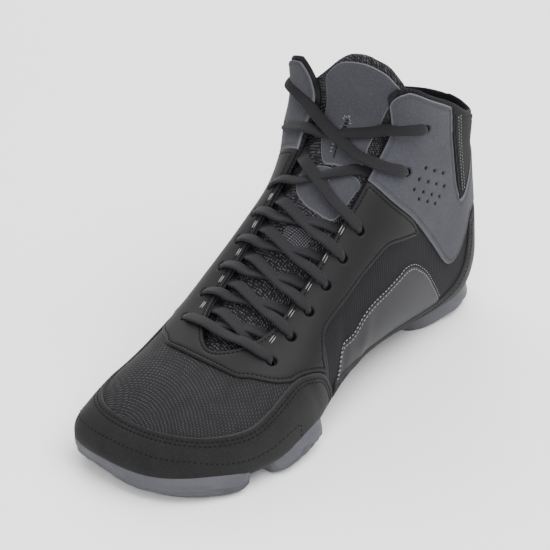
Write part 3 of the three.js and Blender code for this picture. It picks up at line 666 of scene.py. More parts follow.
def off_holes(radius):
    """Distance outside the lace holes, whose axes run straight out of the upper."""
    axes = outwards(*np.array(lateral_holes + medial_holes).T)

    def distance(point):
        nearest = np.full(len(point), np.inf)
        for middle, axis in zip(hole_points, axes):
            reach = point - middle
            along = (reach @ axis)[:, None] * axis
            away = np.linalg.norm(reach - along, axis=1) - radius
            nearest = np.minimum(nearest, np.where(np.abs(reach @ axis) < 12, away, FAR))
        return nearest
    return distance


def finer_table(start, end, coarse, fine, spans, place):
    """Values one coarse step apart, and one fine step apart inside the spans."""
    marks = sorted({start, end, *[m for span in spans for m in span if start < m < end]})
    runs = []
    for low, high in zip(marks, marks[1:]):
        middle = (low + high) / 2
        close = any(a <= middle <= b for a, b in spans)
        runs.append(even_table(low, high, fine if close else coarse, place)[:-1])
    return np.concatenate([*runs, [end]])


def upper_tables():
    holes = np.array(lateral_holes)
    other = np.array(medial_holes)
    u_spans = [(holes[0, 0] - 0.2, holes[5, 0] + 0.25), (holes[6, 0] - 0.5, holes[7, 0] + 0.5)]
    around = sorted(np.concatenate([np.abs(holes[:, 1]), np.abs(other[:, 1])]))
    band = (around[0] - 4, min(around[-1] + 4, 172))
    u = finer_table(-1, LAST_SECTION, 2.6, 1.0, u_spans, lambda u: last_point(u, 150.0))
    angle = finer_table(0, 360, 2.8, 1.2, [band, (360 - band[1], 360 - band[0])],
                        lambda angle: last_point(9.0, angle))
    return u, angle


u_table, angle_table = upper_tables()
COLLAR_ROUND = 1.6
shell, _ = cut_panel(None, None, None, [under_collar(0.0), off_throat(0.0),
    lambda point: flap_corner(point) + 3.2],
    lambda u, a, d: skin(u, a, -WALL / 2 + WALL / 2 * rounded(d, COLLAR_ROUND)),
    lambda u, a, d: skin(u, a, -WALL / 2 - WALL / 2 * rounded(d, COLLAR_ROUND)),
    loops=(0.2, 0.7, 1.5), u_table=u_table, angle_table=angle_table, holes=[off_holes(EYELET_RADIUS)])
VAMP_END = 0.61  # share of LENGTH, hidden under the lace stay and the toe rand


def upper_cloth(face, lined):
    if lined:
        return 2
    return 1 if face.calc_center_median().x > VAMP_END * LENGTH * MM - HEEL_REST * MM else 0


finish_piece(shell, "upper_shell", [ripstop, mesh_cloth, lining], ["upper"], upper_cloth)

# Sewing thread. Polyester thread runs in short slanting stitches that sink into what they hold: dark
# along the rands and the lace stay, pale where the maker shows it off.
def sewn_thread(name, colour, glint):
    material, tree, shader = new_material(name, Roughness=0.7, Specular_IOR_Level=0.12)
    place = put(tree, "ShaderNodeTexCoord").outputs["Object"]
    twist = put(tree, "ShaderNodeTexNoise", {"Vector": place, "Scale": 1 / (0.5 * MM)}).outputs["Fac"]
    shade = put(tree, "ShaderNodeMix", {"Factor": twist, "A": linear(colour), "B": linear(glint)},
                data_type="RGBA")
    tree.links.new(shade.outputs["Result"], shader.inputs["Base Color"])
    return material


dark_thread = sewn_thread("dark_polyester_thread", "#030303", "#0b0b0c")
pale_thread = sewn_thread("pale_polyester_thread", "#5a5a5c", "#98989a")
grey_thread = sewn_thread("grey_polyester_thread", "#2c2d30", "#55565b")


def add_stitch(bm, middle, way, out, length, thick):
    """One stitch, a small spindle that lies along the way."""
    side = np.cross(out, way)
    turn = Matrix.Identity(4)
    for column, vector in enumerate((way * length, side * thick, out * thick)):
        turn.col[column][:3] = vector / 2
    turn.col[3][:3] = middle
    bmesh.ops.create_uvsphere(bm, u_segments=6, v_segments=4, radius=1.0, matrix=turn)


def add_seam(bm, line, lift, pitch=2.6, length=1.9, thick=0.55):
    """Stitches along a line of (u, angle) places, lifted off the upper."""
    u, angle = line
    points = skin(u, angle, lift)
    gone = np.concatenate([[0], np.cumsum(np.linalg.norm(np.diff(points, axis=0), axis=1))])
    if gone[-1] < pitch * 2:
        return
    middles = np.arange(pitch / 2, gone[-1], gone[-1] / round(gone[-1] / pitch))
    around = np.degrees(np.unwrap(np.radians(angle)))
    us, angles = np.interp(middles, gone, u), np.interp(middles, gone, around)
    centres, outs = skin(us, angles, lift), outwards(us, angles)
    FEW = 25  # stitches made at a time, because a long seam in one go is slow
    for first in range(0, len(centres), FEW):
        few = bmesh.new()
        for i in range(first, min(first + FEW, len(centres))):
            way = centres[min(i + 1, len(centres) - 1)] - centres[max(i - 1, 0)]
            way = way - outs[i] * (way @ outs[i])
            add_stitch(few, centres[i], way / np.linalg.norm(way), outs[i], length, thick)
        made = bpy.data.meshes.new("few_stitches")
        few.to_mesh(made)
        few.free()
        bm.from_mesh(made)
        bpy.data.meshes.remove(made)


def side_line(shares, side):
    """A line over one side of the upper through side-view places."""
    places = np.array([place_on_side(*p) for p in curve([at(*share) for share in shares])])
    return places[:, 0], side * places[:, 1]


# Rands. Bands of dark suede-like microfibre, cut to shape, cemented on over the mesh and stitched near
# their upper edge with two rows of dark thread: one round the toe, one round the heel and the waist.
def microfibre_suede(name, shade, nap, worn, cut):
    """Brushed polyurethane microfibre: a short uneven nap, paler where rubbed and along a cut edge."""
    material, tree, shader = new_material(name, Roughness=0.92, Specular_IOR_Level=0.12,
                                          Sheen_Weight=0.06, Sheen_Roughness=0.5)
    place = put(tree, "ShaderNodeTexCoord").outputs["Object"]
    fibres = put(tree, "ShaderNodeTexNoise", {"Vector": place, "Scale": 1 / (0.9 * MM), "Detail": 4.0,
                 "Roughness": 0.7}).outputs["Fac"]
    clouds = put(tree, "ShaderNodeTexNoise", {"Vector": place, "Scale": 1 / (14 * MM), "Detail": 5.0,
                 "Roughness": 0.6}).outputs["Fac"]
    brushed = put(tree, "ShaderNodeMix", {"Factor": clouds, "A": linear(shade), "B": linear(nap)},
                  data_type="RGBA").outputs["Result"]
    specks = put(tree, "ShaderNodeMapRange", {"Value": fibres, "From Min": 0.52, "From Max": 0.75,
                 "To Min": 0.0, "To Max": 0.6}).outputs["Result"]
    rubbed = put(tree, "ShaderNodeMix", {"Factor": specks, "A": brushed, "B": linear(worn)},
                 data_type="RGBA").outputs["Result"]
    inwards = put(tree, "ShaderNodeAttribute", attribute_name="from_edge").outputs["Fac"]
    at_edge = put(tree, "ShaderNodeMapRange", {"Value": inwards, "From Min": 0.3, "From Max": 0.9,
                  "To Min": 0.5, "To Max": 0.0}).outputs["Result"]
    final = put(tree, "ShaderNodeMix", {"Factor": at_edge, "A": rubbed, "B": linear(cut)},
                data_type="RGBA").outputs["Result"]
    tree.links.new(final, shader.inputs["Base Color"])
    bump = put(tree, "ShaderNodeBump", {"Height": fibres, "Distance": 0.25 * MM, "Strength": 0.6})
    tree.links.new(bump.outputs["Normal"], shader.inputs["Normal"])
    return material


dark_suede = microfibre_suede("dark_microfibre_suede", "#151516", "#202021", "#2f2f30", "#363637")
RAND_EDGE = 0.9  # radius of a cut edge
ROWS = (2.6, 4.4)  # stitch rows in from the upper edge
FURROW = 0.45


def sheet_faces(base, thick, rows=()):
    """The outer and inner face of a flat panel sewn on at that height, sunk along its stitch rows."""
    def outer(u, angle, depth):
        sunk = sum(FURROW * bell(depth, row, 0.45) for row in rows)
        return skin(u, angle, base + thick * rounded(depth, RAND_EDGE) - sunk)

    return outer, lambda u, angle, depth: skin(u, angle, base)


TOE_RAND = outline(
    [(1.1, 0.152), (0.955, 0.156), (0.896, 0.156), (0.832, 0.160), (0.783, 0.182), (0.745, 0.205),
     (0.705, 0.225), (0.668, 0.224), (0.634, 0.200), (0.608, 0.140), (0.596, 0.060), (0.590, -0.2)],
    [(1.1, -0.2), (1.1, 0.152)])
HEEL_RAND = outline(
    [(-0.1, 0.352), (0.06, 0.350), (0.120, 0.338)],
    [(0.120, 0.338), (0.124, 0.250), (0.132, 0.185), (0.160, 0.130), (0.210, 0.106), (0.300, 0.116),
     (0.400, 0.126), (0.500, 0.138), (0.590, 0.130)],
    [(0.590, -0.2), (-0.1, -0.2)])
row_edges = [(row - 0.4, row, row + 0.4) for row in ROWS]
rand_rows = tuple(level for trio in row_edges for level in trio)
rand_outer, rand_inner = sheet_faces(0.1, OVERLAY, ROWS)
LOW_ROW = outline([(1.1, 0.098), (0.963, 0.106), (0.917, 0.094), (0.868, 0.082), (0.823, 0.082),
                   (0.790, 0.090), (0.755, 0.104), (0.720, 0.112)], [(0.720, -0.2), (1.1, -0.2)])
toe_rand, toe_lines = cut_panel((-1, 6.6), (0, 360), 1.7, [in_side_view(TOE_RAND)], rand_outer,
                                rand_inner, rows=rand_rows, guide=in_side_view(LOW_ROW))
finish_piece(toe_rand, "rand_toe", [dark_suede], ["toe_rand"])
heel_rand, heel_lines = cut_panel((5.6, 16.5), (-179, 179), 1.8, [in_side_view(HEEL_RAND)],
                                  rand_outer, rand_inner, rows=rand_rows)
finish_piece(heel_rand, "rand_heel", [dark_suede], ["heel_rand"])
rand_seams = bmesh.new()
for lines in (toe_lines, heel_lines):
    for row in ROWS:
        for line in lines[row]:
            add_seam(rand_seams, line, OVERLAY - 0.15)
for line in toe_lines["guide"]:
    add_seam(rand_seams, line, OVERLAY + 0.05, pitch=2.9, length=2.2, thick=0.65)
finish_piece(rand_seams, "rand_seams", [dark_thread], [])

# Heel patch. A piece of ribbed cloth over the back of the shaft, which hangs from the collar to a point
# on each side and is sewn down there with a pale double chain stitch.
HEEL_PATCH = outline(
    [(0.168, 0.452), (0.182, 0.520), (0.200, 0.640), (0.214, 0.740), (0.226, 0.90)],
    [(-0.1, 0.90), (-0.1, 0.63)],
    [(-0.1, 0.63), (0.060, 0.585), (0.125, 0.500), (0.152, 0.456), (0.168, 0.452)])
heel_cloth = ribbed_ripstop("black_nylon_ripstop", "#080809", "#141416")
patch_outer, patch_inner = sheet_faces(0.1, 1.0, (2.2,))
heel_patch, patch_lines = cut_panel((11.5, LAST_SECTION), (-110, 110), 1.7,
    [in_side_view(HEEL_PATCH), under_collar(2.4)],
    patch_outer, patch_inner, rows=(1.8, 2.2, 2.6))
finish_piece(heel_patch, "patch_heel", [heel_cloth], ["heel_patch"])
heel_chain = bmesh.new()
for side, top in ((1, (0.190, 0.755)), (-1, (0.180, 0.685))):  # to just under the collar's edge
    for shift in (-0.004, 0.005):
        chain = side_line([(x + shift, z) for x, z in
                           [(0.154, 0.475), (0.163, 0.543), (0.173, 0.630), top]], side)
        add_seam(heel_chain, chain, 1.0, pitch=2.2, length=1.6, thick=0.5)
finish_piece(heel_chain, "heel_chain_stitch", [pale_thread], [])

# Lace stay. Smooth coated microfibre in one piece on both sides of the lace opening, from its front end
# to the ankle, cemented over the mesh, stitched round its edge and punched with plain lace holes.
def coated_microfibre():
    """Polyurethane-coated microfibre: closed, smooth and faintly leathery, with a soft even gloss."""
    material, tree, shader = new_material("coated_microfibre", Roughness=0.6, Specular_IOR_Level=0.2)
    place = put(tree, "ShaderNodeTexCoord").outputs["Object"]
    grain = put(tree, "ShaderNodeTexVoronoi", {"Vector": place, "Scale": 1 / (1.0 * MM)},
                feature="SMOOTH_F1").outputs["Distance"]
    clouds = put(tree, "ShaderNodeTexNoise", {"Vector": place, "Scale": 1 / (18 * MM), "Detail": 4.0})
    shade = put(tree, "ShaderNodeMix", {"Factor": clouds.outputs["Fac"], "A": linear("#0d0d0e"),
                "B": linear("#161617")}, data_type="RGBA").outputs["Result"]
    tree.links.new(shade, shader.inputs["Base Color"])
    bump = put(tree, "ShaderNodeBump", {"Height": grain, "Distance": 0.12 * MM, "Strength": 0.35})
    tree.links.new(bump.outputs["Normal"], shader.inputs["Normal"])
    return material


smooth_stay = coated_microfibre()
EYESTAY = outline(
    [(0.812, 0.500), (0.806, 0.300), (0.792, 0.254), (0.769, 0.247), (0.741, 0.233), (0.715, 0.226)],
    [(0.668, 0.150)],
    [(0.614, 0.150), (0.618, 0.190), (0.622, 0.239), (0.613, 0.279), (0.600, 0.309), (0.567, 0.338),
     (0.530, 0.366), (0.486, 0.404), (0.444, 0.436), (0.410, 0.455), (0.370, 0.448), (0.310, 0.430)],
    [(0.430, 0.800), (0.812, 0.800)])
ANKLE = outline(
    [(0.500, 0.900), (0.430, 0.700), (0.385, 0.585), (0.325, 0.486), (0.262, 0.360), (0.218, 0.268),
     (0.192, 0.246), (0.166, 0.266), (0.140, 0.318), (0.122, 0.372)],
    [(0.122, 0.372), (0.060, 0.376), (-0.100, 0.378)], [(-0.1, 1.1), (0.36, 1.1)])


def beside(shape, gap):
    """Distance outside a neighbour's outline."""
    return lambda point: -inside(shape, point[:, [0, 2]]) - gap


STAY_ROWS = (1.8, 2.2, 2.6)
stay_outer, stay_inner = sheet_faces(0.1, OVERLAY, (2.2,))
eyestay, stay_lines = cut_panel((3.2, 12.5), (100, 260), 1.2,
    [in_side_view(EYESTAY), off_throat(0.3), beside(TOE_RAND, 0.5), beside(ANKLE, 0.5)],
    stay_outer, stay_inner, rows=STAY_ROWS, holes=[off_holes(EYELET_RADIUS)])
finish_piece(eyestay, "lace_stay", [smooth_stay], ["eyestay"])
stay_seams = bmesh.new()
for line in stay_lines[2.2]:
    add_seam(stay_seams, line, OVERLAY - 0.15, pitch=2.3, length=1.7, thick=0.5)
finish_piece(stay_seams, "eyestay_seams", [dark_thread], [])

# Quarter. Inside the white stitching the side is a smoother cloth, held down by two rows of pale thread
# that run up from the waist, over in an arch and down to the heel.
ARCH = [(0.580, 0.120), (0.570, 0.161), (0.554, 0.221), (0.518, 0.240), (0.476, 0.286), (0.415, 0.312),
        (0.377, 0.329), (0.353, 0.337), (0.321, 0.327), (0.283, 0.276), (0.252, 0.210), (0.210, 0.123)]


def plain_nylon():
    """Plain woven nylon: flat, close and bluish, with a slight gloss."""
    material, tree, shader = new_material("plain_woven_nylon", Roughness=0.55, Specular_IOR_Level=0.3)
    place = put(tree, "ShaderNodeTexCoord").outputs["Object"]
    weave = put(tree, "ShaderNodeTexWave", {"Vector": place, "Scale": wave_scale(0.9 * MM),
                "Distortion": 1.0}, bands_direction="Z").outputs["Fac"]
    shade = put(tree, "ShaderNodeMix", {"Factor": weave, "A": linear("#0e0e12"),
                "B": linear("#17171b")}, data_type="RGBA").outputs["Result"]
    tree.links.new(shade, shader.inputs["Base Color"])
    bump = put(tree, "ShaderNodeBump", {"Height": weave, "Distance": 0.1 * MM, "Strength": 0.4})
    tree.links.new(bump.outputs["Normal"], shader.inputs["Normal"])
    return material


quarter_nylon = plain_nylon()
arch_shape = outline(ARCH, [(0.21, 0.08), (0.58, 0.08)])
quarter_outer, quarter_inner = sheet_faces(0.0, 0.5)
for side, span in (("lateral", (30, 150)), ("medial", (-150, -30))):
    quarter, _ = cut_panel((5.8, 13.5), span, 1.8, [in_side_view(arch_shape)],
                           quarter_outer, quarter_inner)
    finish_piece(quarter, f"quarter_{side}", [quarter_nylon], [])
arch_stitches = bmesh.new()
for side in (1, -1):
    for rise in (0.006, -0.010):
        arch_line = side_line([(x, z + rise) for x, z in ARCH], side)
        add_seam(arch_stitches, arch_line, 0.45, pitch=2.5, length=1.9, thick=0.55)
finish_piece(arch_stitches, "arch_stitches", [pale_thread], [])

# Ankle panels. A wing of grey suede on each side of the shaft, skived thin along its lower edge, with a
# seam round it, two lace holes at the front and a patch of small punched air holes behind them.
grey_suede = microfibre_suede("grey_brushed_suede", "#303135", "#3d3e43", "#525359", "#6c6d71")
AIR_HOLE = 0.95
AIR_ROWS = [((0.284, 0.631), 3), ((0.305, 0.607), 4), ((0.322, 0.584), 4), ((0.312, 0.547), 3)]
AIR_STEP = (-0.0265, -0.0245)  # shares from one hole of a row to the next


def air_holes():
    """Four slanting rows of punched holes behind the lace holes."""
    return [at(x + i * AIR_STEP[0], z + i * AIR_STEP[1]) for (x, z), count in AIR_ROWS
            for i in range(count)]


air_places = air_holes()


def on_side(side):
    """Distance from the middle plane, where the two panels meet behind the heel."""
    sign = 1 if side == "lateral" else -1
    return lambda point: sign * point[:, 1] - 0.3


def off_air_holes(point):
    flat = point[:, [0, 2]]
    return np.min([np.linalg.norm(flat - place, axis=1) for place in air_places], axis=0) - AIR_HOLE


ankle_outer, ankle_inner = sheet_faces(0.1, OVERLAY, (2.4,))
ANKLE_ROWS = (2.0, 2.4, 2.8)
ankle_seams = bmesh.new()
for side, span in (("lateral", (-2, 172)), ("medial", (-172, 2))):
    ankle, ankle_lines = cut_panel((8.5, LAST_SECTION), span, 1.0,
        [in_side_view(ANKLE), under_collar(2.4), off_throat(0.3), flap_corner, on_side(side),
         beside(HEEL_PATCH, 0.5), beside(HEEL_RAND, 0.5)],
        ankle_outer, ankle_inner, rows=ANKLE_ROWS, holes=[off_holes(EYELET_RADIUS), off_air_holes])
    finish_piece(ankle, f"ankle_panel_{side}", [grey_suede], [f"ankle_{side}"])
    for line in ankle_lines[2.4]:
        if len(line[0]) > 60:
            add_seam(ankle_seams, line, OVERLAY - 0.2, pitch=2.3, length=1.7, thick=0.5)
finish_piece(ankle_seams, "ankle_seams", [grey_thread], [])

# Tongue. A foam pad between two cloths that lies under the lace opening and rises behind it: open black
# mesh below, grey suede above with a knitted binding, and a second suede patch at the bend.
TONGUE_LAP = 9.0
TONGUE_MIDDLE = -6.0
TONGUE_TOP_FACE = -2.9
TONGUE_MARGIN = -4.9
PAD_SHARE = 0.80


def open_mesh():
    """Spacer mesh: black knitted polyester with a pale yarn end showing about every 1.7 mm."""
    CELL = 1.7
    material, tree, shader = new_material("black_spacer_mesh", Roughness=0.8, Specular_IOR_Level=0.2)
    cloth = put(tree, "ShaderNodeUVMap", uv_map="cloth_mm").outputs["UV"]
    cells = put(tree, "ShaderNodeTexVoronoi", {"Vector": cloth, "Scale": 1 / CELL, "Randomness": 0.35})
    colours = put(tree, "ShaderNodeValToRGB", {"Fac": cells.outputs["Distance"]})
    colours.color_ramp.elements[0].position = 0.12
    colours.color_ramp.elements[0].color = linear("#4a4a4d")
    colours.color_ramp.elements[1].position = 0.45
    colours.color_ramp.elements[1].color = linear("#0b0b0d")
    tree.links.new(colours.outputs["Color"], shader.inputs["Base Color"])
    bump = put(tree, "ShaderNodeBump", {"Height": cells.outputs["Distance"], "Distance": 0.4 * MM,
               "Strength": 0.7})
    bump.invert = True
    tree.links.new(bump.outputs["Normal"], shader.inputs["Normal"])
    return material


tongue_mesh = open_mesh()


def smooth_step(value, low, high):
    t = np.clip((value - low) / (high - low), 0, 1)
    return t * t * (3 - 2 * t)


def tongue_face(u, angle, depth):
    """The outer face, low along its sides so that the lace passes under the edge of the opening."""
    height = last_point(u, angle)[..., 2]
    pad = smooth_step(height, BED + (PAD_SHARE - 0.06) * SHAFT_HEIGHT, BED + PAD_SHARE * SHAFT_HEIGHT)
    margin = smooth_step(depth, 9.0, 14.0)
    flat = TONGUE_MARGIN + (TONGUE_TOP_FACE - TONGUE_MARGIN) * np.maximum(margin, pad)
    middle = TONGUE_MIDDLE - pad * 1.0
    return middle + (flat - middle) * rounded(depth, 4.5 + 2 * pad)


def tongue_rear(u, angle, depth):
    height = last_point(u, angle)[..., 2]
    pad = smooth_step(height, BED + (PAD_SHARE - 0.06) * SHAFT_HEIGHT, BED + PAD_SHARE * SHAFT_HEIGHT)
    middle = TONGUE_MIDDLE - pad * 1.0
    return middle - (1.9 + 1.9 * pad) * rounded(depth, 4.5 + 2 * pad)


def in_front_view(line, *corners):
    """Distance into an outline in the front view: millimetres across, share of SHAFT_HEIGHT up."""
    shape = curve([(y, BED + z * SHAFT_HEIGHT) for y, z in line], closed=not corners)
    if corners:
        shape = np.vstack([shape, [(y, BED + z * SHAFT_HEIGHT) for y, z in corners]])
    return lambda point: inside(shape, point[:, [1, 2]])


tongue_top = in_front_view([(40, 0.86), (36.5, 0.915), (33, 0.952), (27.5, 0.984), (18.6, 0.998),
                            (11, 1.002), (0, 0.990), (-8, 0.965), (-17, 0.925), (-27, 0.88),
                            (-36, 0.84)], (-40, 0), (40, 0))


tongue_band = in_throat(throat_outline(THROAT_HALF + TONGUE_LAP, -TONGUE_LAP * 1.4))
tongue, _ = cut_panel((3.0, LAST_SECTION), (105, 255), 1.5, [tongue_band, tongue_top],
    lambda u, a, d: last_point(u, a, tongue_face(u, a, d)),
    lambda u, a, d: last_point(u, a, tongue_rear(u, a, d)), loops=(0.3, 1.0, 2.2, 4.0))
tongue = finish_piece(tongue, "tongue_pad", [tongue_mesh, lining], ["tongue"],
                      lambda face, lined: lined)
COVER_THICK = 0.6
# Millimetres across and share of the height, read off in the front view.
UPPER_COVER = [(-16.5, 0.893), (-7, 0.948), (3, 0.970), (15, 0.978), (25.5, 0.964), (31, 0.936),
               (33, 0.912), (28, 0.872), (22.8, 0.820), (19.6, 0.771), (18.6, 0.731), (20, 0.690),
               (12.8, 0.680), (4.5, 0.677), (-3.2, 0.673), (-10, 0.703), (-15, 0.743),
               (-17.4, 0.780), (-17.7, 0.824)]
LOWER_COVER = [(-3.2, 0.665), (-13.5, 0.640), (-12.5, 0.600), (-1, 0.578), (9, 0.571), (20, 0.563),
               (22.4, 0.598), (23.1, 0.622), (23.9, 0.642), (18.5, 0.664), (9, 0.670)]
KEYHOLE = ((-0.5, 0.757), (-0.5, 0.776), 1.1)
SLIT = ((-0.2, 0.722), (1.6, 0.692), 0.45)


def off_slot(slot):
    """Distance outside a slot with round ends, in the front view."""
    (y0, z0), (y1, z1), radius = slot
    start, end = np.array([y0, BED + z0 * SHAFT_HEIGHT]), np.array([y1, BED + z1 * SHAFT_HEIGHT])

    def distance(point):
        reach = point[:, [1, 2]] - start
        t = np.clip(reach @ (end - start) / ((end - start) @ (end - start)), 0, 1)
        return np.linalg.norm(reach - t[:, None] * (end - start), axis=1) - radius
    return distance


def on_tongue(u, angle, lift):
    """A place on the tongue's face, or that far off it."""
    depth = depth_in([tongue_band, tongue_top], u, angle)
    return last_point(u, angle, tongue_face(u, angle, np.maximum(depth, 0)) + lift)


def tongue_cover(name, line, material, thick, step=0.9, holes=()):
    cover, _ = cut_panel((5.5, LAST_SECTION), (105, 255), step, [in_front_view(line)],
        lambda u, a, d: on_tongue(u, a, thick * rounded(d, 0.7)),
        lambda u, a, d: on_tongue(u, a, -0.3), loops=(0.2, 0.6), holes=holes)
    finish_piece(cover, name, [material], [])


def place_in_front(y, share):
    """The section and the angle of a place in the front view."""
    low, high = 4.5, float(LAST_SECTION)
    for _ in range(25):
        u = (low + high) / 2
        if last_point(u, angle_at_y(u, y))[2] < BED + share * SHAFT_HEIGHT:
            low = u
        else:
            high = u
    return u, angle_at_y(u, y)


tongue_cover("tongue_suede", UPPER_COVER, grey_suede, COVER_THICK, 0.8,
             [off_slot(KEYHOLE), off_slot(SLIT)])
tongue_cover("tongue_bend_suede", LOWER_COVER, grey_suede, COVER_THICK)


def grey_webbing():
    """Plain-woven polyester webbing: warp over weft in a close grid, both mid-grey."""
    RIB = 1.6
    material, tree, shader = new_material("woven_polyester_webbing", Roughness=0.8,
                                          Specular_IOR_Level=0.2)
    cloth = put(tree, "ShaderNodeUVMap", uv_map="cloth_mm").outputs["UV"]
    warp = put(tree, "ShaderNodeTexWave", {"Vector": cloth, "Scale": wave_scale(RIB)},
               bands_direction="X").outputs["Fac"]
    weft = put(tree, "ShaderNodeTexWave", {"Vector": cloth, "Scale": wave_scale(RIB * 0.8)},
               bands_direction="Y").outputs["Fac"]
    crown = put(tree, "ShaderNodeMath", {0: warp, 1: weft}, operation="MULTIPLY").outputs["Value"]
    shade = put(tree, "ShaderNodeMix", {"Factor": crown, "A": linear("#17171a"),
                "B": linear("#5a5a5f")}, data_type="RGBA").outputs["Result"]
    tree.links.new(shade, shader.inputs["Base Color"])
    bump = put(tree, "ShaderNodeBump", {"Height": crown, "Distance": 0.3 * MM, "Strength": 0.7})
    tree.links.new(bump.outputs["Normal"], shader.inputs["Normal"])
    return material


tongue_cover("lace_keeper", [(-5, 0.525), (2, 0.531), (12.5, 0.534), (14.5, 0.505), (15.0, 0.479),
                             (7, 0.476), (-2, 0.475), (-4, 0.5)], grey_webbing(), 0.8)
tongue_stitches = bmesh.new()
BUTTONHOLE = 16  # frayed stitches that bind the keyhole
for i in range(BUTTONHOLE):
    turn = 2 * math.pi * i / BUTTONHOLE
    ends = []
    for reach in (1.9, 3.4 + 0.7 * math.sin(5 * turn)):
        u, angle = place_in_front(KEYHOLE[0][0] + reach * math.sin(turn),
                                  0.766 + (reach * math.cos(turn) + 1.3 * math.copysign(1, math.cos(turn)))
                                  / SHAFT_HEIGHT)
        ends.append(on_tongue(np.array([u]), np.array([angle]), COVER_THICK + 0.1)[0])
    way = ends[1] - ends[0]
    out = outwards(u, angle)
    add_stitch(tongue_stitches, (ends[0] + ends[1]) / 2, way / np.linalg.norm(way), out,
               np.linalg.norm(way), 0.45)
for y, share in ((-2.6, 0.716), (-2.1, 0.708), (-1.7, 0.700), (3.2, 0.640), (4.4, 0.636), (5.5, 0.641)):
    u, angle = place_in_front(y, share)
    middle = on_tongue(np.array([u]), np.array([angle]), COVER_THICK + 0.1)[0]
    add_stitch(tongue_stitches, middle, np.array([0.0, 0.94, 0.34]), outwards(u, angle), 2.2, 0.5)
finish_piece(tongue_stitches, "tongue_stitches", [pale_thread], [])

# Bar tacks. Short pale double stitches that hold the edge of the lace opening between the holes.
bar_tacks = bmesh.new()
TACK_LENGTH = 5.5
for side in (1, -1):
    for i in range(EYELET_ROWS - 1):
        for inset in (1.0, 2.2):
            ends = []
            for run in (-TACK_LENGTH / 2, TACK_LENGTH / 2):
                u = ridge_section(EYELET_FIRST + (i + 0.5) * EYELET_PITCH + run)
                angle = angle_at_y(u, THROAT_SHIFT + side * (THROAT_HALF + inset))
                ends.append(skin(np.array([u]), np.array([angle]), OVERLAY + 0.2)[0])
            way = ends[1] - ends[0]
            add_stitch(bar_tacks, (ends[0] + ends[1]) / 2, way / np.linalg.norm(way),
                       outwards(u, angle), TACK_LENGTH, 0.6)
finish_piece(bar_tacks, "bar_tacks", [pale_thread], [])

# Insole. A flat pad of foam with a knitted top that fills the bottom of the upper.
INSOLE_THICK = 3.2


def insole_top(u):
    return section_at(u)[..., 3] + WALL + INSOLE_THICK


def below_insole_top(point):
    """Distance under the insole's top, whose height follows the bottom of the upper."""
    u = np.linspace(0, 12, 200)
    rows = section_at(u)
    order = np.argsort(rows[:, 2])
    return np.interp(point[:, 0], rows[order, 2], insole_top(u)[order]) - point[:, 2]


def insole_face(u, angle, depth):
    """The top, level from side to side, with a soft edge."""
    low, wall = last_point(u, angle, -WALL - 0.4), last_point(u, angle, -WALL - 0.5)
    level = np.maximum(insole_top(u) - 0.8 * (1 - rounded(depth, 3.0)), low[:, 2])
    wall[:, 2] = level
    return wall


insole, _ = cut_panel((0.4, 11.4), (-80, 80), 2.2, [below_insole_top],
                      lambda u, a, d: last_point(u, a, -WALL - 0.4), insole_face)
bmesh.ops.reverse_faces(insole, faces=insole.faces)
finish_piece(insole, "insole_pad", [lining], ["insole"], lambda face, lined: 0)

# Sole. Two separate pads of moulded grey rubber, cemented under toe and ball and under the heel. Their
# sides stand out past the upper with fine ribs, and flex grooves cross the tread.
def moulded_rubber():
    """Grey sole rubber from a steel mould: dull, with a faint uneven bloom."""
    material, tree, shader = new_material("moulded_grey_rubber", Roughness=0.55, Specular_IOR_Level=0.35)
    place = put(tree, "ShaderNodeTexCoord").outputs["Object"]
    bloom = put(tree, "ShaderNodeTexNoise", {"Vector": place, "Scale": 1 / (12 * MM), "Detail": 6.0,
                "Roughness": 0.65}).outputs["Fac"]
    shade = put(tree, "ShaderNodeMix", {"Factor": bloom, "A": linear("#37383d"),
                "B": linear("#4a4b51")}, data_type="RGBA").outputs["Result"]
    tree.links.new(shade, shader.inputs["Base Color"])
    grit = put(tree, "ShaderNodeTexNoise", {"Vector": place, "Scale": 1 / (0.6 * MM)}).outputs["Fac"]
    bump = put(tree, "ShaderNodeBump", {"Height": grit, "Distance": 0.08 * MM, "Strength": 0.4})
    tree.links.new(bump.outputs["Normal"], shader.inputs["Normal"])
    return material


rubber = moulded_rubber()
SOLE_SIDE = 4.4
SOLE_EDGE = 3.2
TREAD_DEPTH = 1.5
TREAD_WIDTH = 3.0
TREAD_PITCH = 18.0
RIB_HEIGHTS = (3.4, 6.2, 9.0)
RIB_DEPTH = 1.5
INNER_SIDE = 2.4  # how far the rubber stands out on the inner side
TOE_FEATHER = [(1.1, 0.058), (1.0, 0.061), (0.968, 0.068), (0.917, 0.068), (0.868, 0.060),
               (0.823, 0.050), (0.790, 0.036), (0.755, 0.058), (0.726, 0.074), (0.689, 0.086),
               (0.660, 0.084), (0.635, 0.056), (0.612, 0.0)]
HEEL_FEATHER = [(0.27, 0.0), (0.22, 0.030), (0.14, 0.050), (0.06, 0.070), (-0.1, 0.090)]
TOE_SOLE = outline(TOE_FEATHER, [(0.612, -0.2), (1.1, -0.2)])
HEEL_SOLE = outline(HEEL_FEATHER, [(-0.1, -0.2), (0.27, -0.2)])
NOTCH = outline([(0.850, 0.07), (0.836, 0.0), (0.820, -0.02), (0.796, 0.0), (0.780, 0.07)])


def off_notch(point):
    """Distance outside the bare gap between toe and ball, which is on the outer side only."""
    return np.where(point[:, 1] > BALL_WIDTH * 0.3, -inside(NOTCH, point[:, [0, 2]]), FAR)


